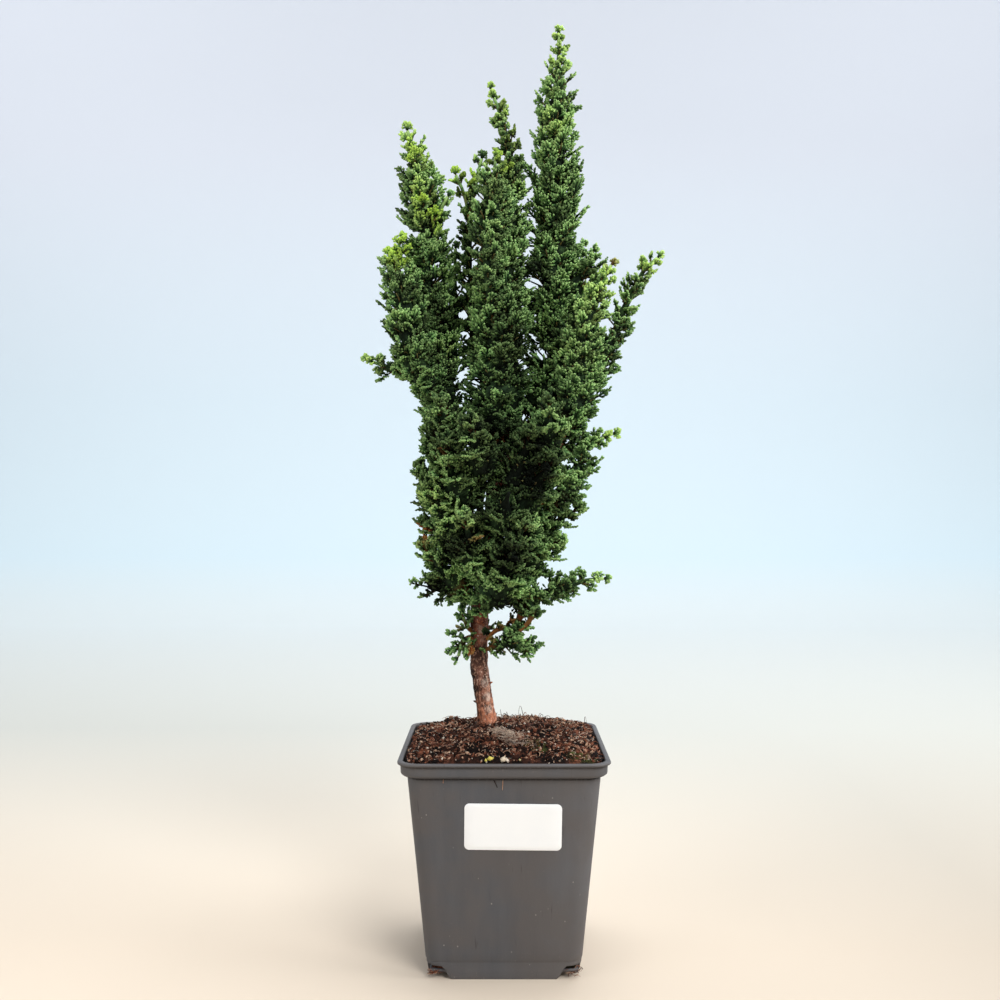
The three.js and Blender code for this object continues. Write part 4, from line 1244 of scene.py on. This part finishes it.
# Places are x, y, z or x, y and a reach. The mound is flat-topped and steeper at its edge, and its top lies
# a little behind the pot's middle. grains: crumbs and perlite, each how many, smallest, largest and how
# pale. side: half widths and heights down inside the pot.
soilShape = {
    "half": 51.6,
    "edge": 113.2,
    "crown": 10.8,
    "crownAt": (4, 8),
    "cells": 120,
    "cornerPull": 0.048,
    "grains": [(2600, 0.4, 1.45, 0.0), (640, 0.3, 0.75, 1.0)],
    "side": [(51.6, 109.4), (48.6, 107.6), (39.4, 9.3), (39.0, 5.1), (2, 5.1)],
    "fibres": 2300,
    "fibreSteps": 6,
    "fibreSides": 3,
    "moss": [(16, -31, 5), (18, -38, 4), (39, -43, 6), (44, -45, 4)],
    "felt": {"at": [(-4, -17, 123, 3.4), (1, -21, 122.6, 3.2), (6, -32, 122.2, 5), (3, -27, 122.2, 3.6)],
             "count": 110},
    "curls": [(12.5, 33, 8, 4), (-0.5, 30, 5, 3), (3, 34, 4.5, 3), (48, 42, 5, 4), (-5, 36, 4, 3),
              (20, 38, 3.5, 3)],
    "lumps": [(-32, 38, 4.5, 3.4), (-20, 40, 5, 1), (49, 40, 4, 1.5), (-7, -2, 7, -2.6)],
    "threads": [(-0.6, 106.4, 5.6, 0.5, 0.9), (-5.2, 106, 4, -1.2, 0.15), (-31, 106.4, 2, 0.6, 0.8)],
    "chips": [(-9.3, -50.1, 1.6, 0, 1), (-7.1, -49.3, 1.5, 0, 1), (-0.8, -50.2, 2, 0.75, 0.1),
              (1.6, -50.5, 1.2, 0.8, 0), (8, -50.3, 1.1, 0.5, 0.5), (-32, -50, 1.2, 0.9, 0)],
    "footRoots": {"at": [(-36.5, -37.5, 3.2), (36.5, -37.5, 3.2)], "size": (2.6, 2, 1.6), "count": 34},
    "seed": 77,
}


# The soil's height: its edge, plus crown x a flat-topped mound, the square root of (1 - share^2.6) in x
# times the same in y, a little lower away from its top and at the back, plus noise of three sizes and lumps.
def soilHeight(x, y):
    s = soilShape
    share = math.prod(np.clip(1 - (np.abs(v) / s["half"]) ** 2.6, 0, 1) for v in (x, y))
    atX, atY = s["crownAt"]
    dome = share**0.5 * (1 - 0.12 * np.hypot(x - atX, y - atY) / s["half"])
    place = np.stack([x, y, x * 0 + 3.3], axis=-1)
    rough = layeredNoise(place, 11, 2, 1) * 1.5 + layeredNoise(place, 3.4, 3, 5) * 1.1
    fine = np.abs(layeredNoise(place, 1.3, 2, 11)) * 0.7
    behind = np.clip(y / 50, 0, 1)
    dome = dome * (1 - behind * (0.08 + 0.5 * np.clip(-x / 50, 0, 1)))
    lumps = sum(high * np.exp(-((x - a) ** 2 + (y - b) ** 2) / wide**2) for a, b, wide, high in s["lumps"])
    return s["edge"] + s["crown"] * dome + (rough + fine) * (0.45 + 0.7 * dome) + lumps


# The soil: a square patch pulled in at its corners to fit the pot, lifted to its height, with its edge
# drawn down inside the pot to the floor and closed there.
def makeSoil():
    s = soilShape
    line = np.linspace(-1, 1, s["cells"])
    line = np.sign(line) * (1 - (1 - np.abs(line)) ** 1.25)
    u, v = np.meshgrid(line, line)
    x = s["half"] * u * (1 - s["cornerPull"] * v**8)
    y = s["half"] * v * (1 - s["cornerPull"] * u**8)
    top = np.stack([x, y, soilHeight(x, y)], axis=-1).reshape(-1, 3)
    n = s["cells"]
    index = np.arange(n * n).reshape(n, n)
    rim = np.concatenate([index[0, :-1], index[:-1, -1], index[-1, :0:-1], index[:0:-1, 0]])
    edge = top[rim]
    rows = [edge]
    for half, z in s["side"]:
        rows.append(np.column_stack([edge[:, :2] * half / s["half"], np.full(len(edge), z)]))
    rings = np.array(rows)[::-1]
    side, sideFaces = skin(rings)
    sideFaces = [sideFaces[0], sideFaces[1][:1]]
    points = np.concatenate([top, side])
    faces = [gridFaces(n, n, wrap=False)] + [array + len(top) for array in sideFaces]
    x, y = points[:, 0], points[:, 1]
    mossy = sum(np.clip(1.4 - np.hypot(x - a, y - b) / reach, 0, 1) for a, b, reach in s["moss"])
    mossy = mossy * np.clip(noise(points / 2.2, 3) + 0.6, 0, 1)
    tone = np.clip(layeredNoise(points, 7, 3, 8) * 0.4 + 0.16, 0, 1)
    paint = np.column_stack([x * 0, np.clip(mossy, 0, 0.9), tone, x * 0])
    makePiece("soilBed", points, faces, soil, ["soil"], paint)


# A rough eight-sided grain, for scattering: an octahedron with its belly split.
def grains(centre, size, random):
    corners = np.array([(1, 0, 0), (0.2, 1, 0), (-1, 0.1, 0), (0, -1, 0.1), (0, 0.1, 0.8), (0.1, 0, -0.8)])
    tris = np.array([(0, 1, 4), (1, 2, 4), (2, 3, 4), (3, 0, 4), (1, 0, 5), (2, 1, 5), (3, 2, 5), (0, 3, 5)])
    count = len(centre)
    shape = corners * random.uniform(0.6, 1.3, (count, 6, 3)) * random.uniform(0.45, 1.7, (count, 1, 3))
    turn, _ = np.linalg.qr(random.normal(0, 1, (count, 3, 3)))
    turn = turn * np.sign(np.linalg.det(turn))[:, None, None]
    points = np.einsum("nij,nkj->nki", turn, shape) * size[:, None, None] + centre[:, None]
    return points.reshape(-1, 3), copiedFaces([tris], count, 6)


# Places on the soil, this far out at most and inside the pot's round corners. crowd draws them outwards.
def onSoil(count, random, reach=0.96, crowd=1.0):
    s = soilShape
    x, y = random.uniform(-1, 1, (2, count))
    x, y = (np.sign(v) * np.abs(v) ** crowd * s["half"] * reach for v in (x, y))
    over = np.maximum(np.abs([x, y]) - (s["half"] - 9), 0)
    pull = np.minimum(1, 8.2 / np.maximum(np.hypot(*over), 1e-9))
    x, y = (np.sign(v) * (np.abs(v) - part * (1 - pull)) for v, part in zip((x, y), over))
    return x, y, soilHeight(x, y)


# Crumbs and perlite over the soil, and a few pale chips.
def makeGrit():
    s = soilShape
    random = np.random.default_rng(s["seed"])
    parts = []
    for count, low, high, pale in s["grains"]:
        x, y, z = onSoil(count, random, 0.985, 0.85)
        size = random.uniform(low, high, count) * random.uniform(0.5, 1, count)
        points, faces = grains(np.column_stack([x, y, z + size * 0.25]), size, random)
        tone = random.random(count) ** 1.3
        facts = np.column_stack([pale * (0.45 + 0.55 * tone), tone * 0, tone, tone * 0])
        parts.append((points, faces, np.repeat(facts, 6, axis=0)))
    x, y, size, pale, yellow = np.array(s["chips"]).T
    points, faces = grains(np.column_stack([x, y, soilHeight(x, y) + 0.6]), size, random)
    facts = np.column_stack([pale, pale * 0, pale * 0 + 1, yellow])
    makeMany("soilGrit", [*parts, (points, faces, np.repeat(facts, 6, axis=0))], soil)


# Fibres: thin tubes whose heading turns steadily as they run, lying on the soil or looping above it.
def fibres(start, heading, curl, climb, length, radius):
    steps, sides = soilShape["fibreSteps"], soilShape["fibreSides"]
    share = np.linspace(0, 1, steps)
    angle = heading[:, None] + curl[:, None] * share
    move = length[:, None] / (steps - 1)
    x = start[:, :1] + np.cumsum(np.cos(angle) * move, axis=1)
    y = start[:, 1:2] + np.cumsum(np.sin(angle) * move, axis=1)
    z = start[:, 2:] + climb[:, None] * np.sin(share * math.pi * 0.9)
    centre = np.stack([x, y, z], axis=-1)
    tangent = unit(np.gradient(centre, axis=1))
    across = unit(np.cross(tangent, (0.1, 0.2, 1)))
    taper = radius[:, None, None, None] * (1 - 0.6 * share)[:, None, None]
    ring = turned(across[:, :, None], np.cross(across, tangent)[:, :, None], circleTurns(sides))
    points = centre[:, :, None] + ring * taper
    ends = np.stack([np.arange(sides), (steps - 1) * sides + np.arange(sides)[::-1]])
    return points.reshape(-1, 3), copiedFaces([gridFaces(steps, sides), ends], len(start), steps * sides)


# Root fibres: short brown ones all over the soil, more behind the trunk, a pale felt of fine ones before
# it, and a tangle of rootlets in each front notch of the pot's foot.
def makeFibres():
    s = soilShape
    random = np.random.default_rng(s["seed"] + 1)
    parts = []

    def add(points, faces, count, pale, tone):
        facts = np.column_stack([pale, pale * 0, tone, pale * 0])
        parts.append((points, faces, np.repeat(facts, len(points) // count, axis=0)))

    def lay(start, lengths, climb, radii, pale, tone):
        count = len(start)
        heading, curl = random.uniform(0, 6.28, count), random.normal(0, 2.4, count)
        add(*fibres(start, heading, curl, climb, lengths, radii), count, pale, tone)

    count = s["fibres"]
    x, y, z = onSoil(count, random, 0.93, 0.9)
    behind = np.exp(-((x - 8) / 26) ** 2 - ((y - 18) / 12) ** 2)
    climb = random.uniform(0.2, 1.4, count) + behind * random.uniform(0, 2.6, count) ** 2 * 0.6
    length, radius = random.uniform(1.5, 5, count), random.uniform(0.14, 0.36, count)
    pale, tone = np.clip(random.random(count) * 2.2 - 1.8, 0, 0.4), random.random(count) ** 1.2
    lay(np.column_stack([x, y, z - 0.1]), length, climb, radius, pale, tone)
    felt = s["felt"]
    count = felt["count"]
    for x, y, z, wide in felt["at"]:
        start = np.array((x, y, z)) + unit(random.normal(0, 1, (count, 3))) * wide * (1, 1, 0.75)
        start[:, 2] = np.maximum(start[:, 2], soilHeight(start[:, 0], start[:, 1]) + 0.2)
        light = np.clip((start[:, 2] - z) / wide, 0, 1)
        length, climb = random.uniform(2, 5, count), random.uniform(-0.5, 1.6, count)
        radius, pale = random.uniform(0.14, 0.26, count), random.uniform(0.05, 0.5, count) + light * 0.2
        lay(start, length, climb, radius, pale, random.uniform(0.2, 0.9, count) + light * 0.3)
    curls = np.array(s["curls"])
    z = soilHeight(curls[:, 0], curls[:, 1])
    start = np.column_stack([curls[:, :2], z])
    lay(start, curls[:, 3], curls[:, 2], z * 0 + 0.22, z * 0 + 0.05, z * 0 + 0.3)
    # Rootlets that hang down the wall from under the collar: x, z, length, bend and tone.
    x, z, length, bend, tone = np.array(s["threads"]).T
    start = np.column_stack([x, -wallHalf(z) - 0.5, z])
    down = np.tile(unit(np.array([0.1, potShape["draft"], -1.0])), (len(x), 1))
    sideways = np.tile(unit(np.cross(down[0], (0, -1, 0))), (len(x), 1))
    threads = cords(start, down, sideways, length, x * 0 + 0.24, bend * 0.3, twigProfile, 4, 1.0)
    add(*threads[:2], len(x), x * 0, tone)
    roots = s["footRoots"]
    count = roots["count"]
    for at in roots["at"]:
        start = np.array(at) + random.normal(0, 0.5, (count, 3)) * roots["size"]
        start[:, 2] = np.maximum(start[:, 2], 0.7)
        length, climb = random.uniform(2, 5, count), random.uniform(0, 1.2, count)
        radius, tone = random.uniform(0.15, 0.32, count), random.uniform(0.3, 0.9, count)
        lay(start, length, climb, radius, np.zeros(count), tone)
    makeMany("rootFibres", parts, soil)


makeSoil()
makeGrit()
makeFibres()
print("soil is ready")


stageLook = {
    "floor": (226, 211, 192),
    "floorRightShade": (189, 178, 163),
    "floorMid": (207, 208, 201),
    "floorFar": (234, 241, 241),
    "wallLow": (224, 242, 250),
    "wallHigh": (228, 234, 245),
    "back": 1.6,
    "bend": 0.5,
    "half": 4,
    "wallTop": 3.5,
    "air": (236, 240, 246),
    "airLight": 0.31,
}


# A plain sweep: the floor runs back, bends up on a quarter circle and goes on as the wall.
def makeStage():
    s = stageLook
    bendTurn = np.linspace(0, math.pi / 2, 24)
    floorY = np.linspace(-2.5, s["back"], 12)
    curveY = s["back"] + s["bend"] * np.sin(bendTurn)
    curveZ = s["bend"] * (1 - np.cos(bendTurn))
    y = np.concatenate([floorY, curveY[1:], np.full(8, s["back"] + s["bend"])])
    z = np.concatenate([floorY * 0, curveZ[1:], s["bend"] + np.linspace(0.3, s["wallTop"], 8)])
    x = np.linspace(-s["half"], s["half"], 3)
    points = np.array([[(across, depth, up) for across in x] for depth, up in zip(y, z)]).reshape(-1, 3)
    mesh = bpy.data.meshes.new("sweep")
    mesh.from_pydata(points.tolist(), [], gridFaces(len(y), 3, wrap=False).tolist())
    mesh.polygons.foreach_set("use_smooth", np.ones(len(mesh.polygons), bool))
    paintwork = Finish("sweepPaint", Roughness=0.9)
    coordinates = paintwork.value("ShaderNodeTexCoord", output="Object")
    split = paintwork.add("ShaderNodeSeparateXYZ", None, {0: coordinates})
    across, depth, height = (Field(paintwork, out) for out in split.outputs)
    wall = paintwork.mix(paintwork.rise(height, 0.1, 1.1), s["wallLow"], s["wallHigh"])
    paintwork.feed("Base Color", paintwork.coats(
        s["floor"],
        # Painted shade: the floor is darker towards the right.
        (paintwork.rise(across, 0.02, 0.3), s["floorRightShade"]),
        (paintwork.rise(depth, 0.0, 0.6), s["floorMid"]),
        (paintwork.rise(depth, 0.6, 1.6), s["floorFar"]),
        (paintwork.rise(height, 0.0, 0.12), wall),
    ))
    mesh.materials.append(paintwork.material)
    sweep = bpy.data.objects.new("sweep", mesh)
    bpy.context.scene.collection.objects.link(sweep)


lightSetup = {
    "key": {"at": (0.6, -1.15, 1.35), "aim": (0, 0, 0.28), "size": 0.8, "power": 16.6},
    "side": {"at": (1.25, -0.2, 0.85), "aim": (0, 0, 0.25), "size": 0.9, "power": 10},
    "top": {"at": (0.1, 0.3, 1.6), "aim": (0, 0, 0.3), "size": 0.9, "power": 12},
    "fill": {"at": (-1.2, -0.8, 0.7), "aim": (0, 0, 0.2), "size": 1.0, "power": 5.2},
    "wall": {"at": (0, 0.9, 1.9), "aim": (0, 2.0, 0.4), "size": 2.0, "power": 5.3},
    "wallLeft": {"at": (-1.5, 0.9, 1.7), "aim": (-1.4, 2.1, 0.5), "size": 1.4, "power": 8.9},
    "wallRight": {"at": (1.5, 0.9, 1.7), "aim": (1.4, 2.1, 0.5), "size": 1.4, "power": 8.9},
}


# Turns a light so that it looks at a point: up or down by its slope, and round to its bearing.
def aimAt(thing, target):
    direction = np.asarray(target, float) - np.asarray(thing.location)
    flat = math.hypot(direction[0], direction[1])
    thing.rotation_euler = (math.pi / 2 + math.atan2(direction[2], flat), 0,
                            math.atan2(direction[1], direction[0]) - math.pi / 2)


def makeLights():
    for name, setup in lightSetup.items():
        lamp = bpy.data.lights.new(name, "AREA")
        lamp.shape = "DISK"
        lamp.size = setup["size"]
        lamp.energy = setup["power"]
        light = bpy.data.objects.new(name, lamp)
        light.location = setup["at"]
        aimAt(light, setup["aim"])
        bpy.context.scene.collection.objects.link(light)
    world = bpy.data.worlds.new("studio")
    world.use_nodes = True
    background = world.node_tree.nodes["Background"]
    background.inputs["Color"].default_value = screen(*stageLook["air"])
    background.inputs["Strength"].default_value = stageLook["airLight"]
    bpy.context.scene.world = world


def makeCamera():
    lens = bpy.data.cameras.new("camera")
    lens.lens = cameraSetup["lens"]
    lens.sensor_width = 36
    lens.clip_start = 0.01
    camera = bpy.data.objects.new("camera", lens)
    camera.location = toFrame(cameraSetup["at"])
    camera.rotation_euler = (math.pi / 2, 0, 0)
    bpy.context.scene.collection.objects.link(camera)
    bpy.context.scene.camera = camera


bpy.context.scene.view_settings.view_transform = "Standard"
makeStage()
makeLights()
makeCamera()
total = 0
for thing in bpy.data.objects:
    if thing.type == "MESH" and not thing.hide_render:
        thing.data.calc_loop_triangles()
        total += len(thing.data.loop_triangles)
print("triangles", total)
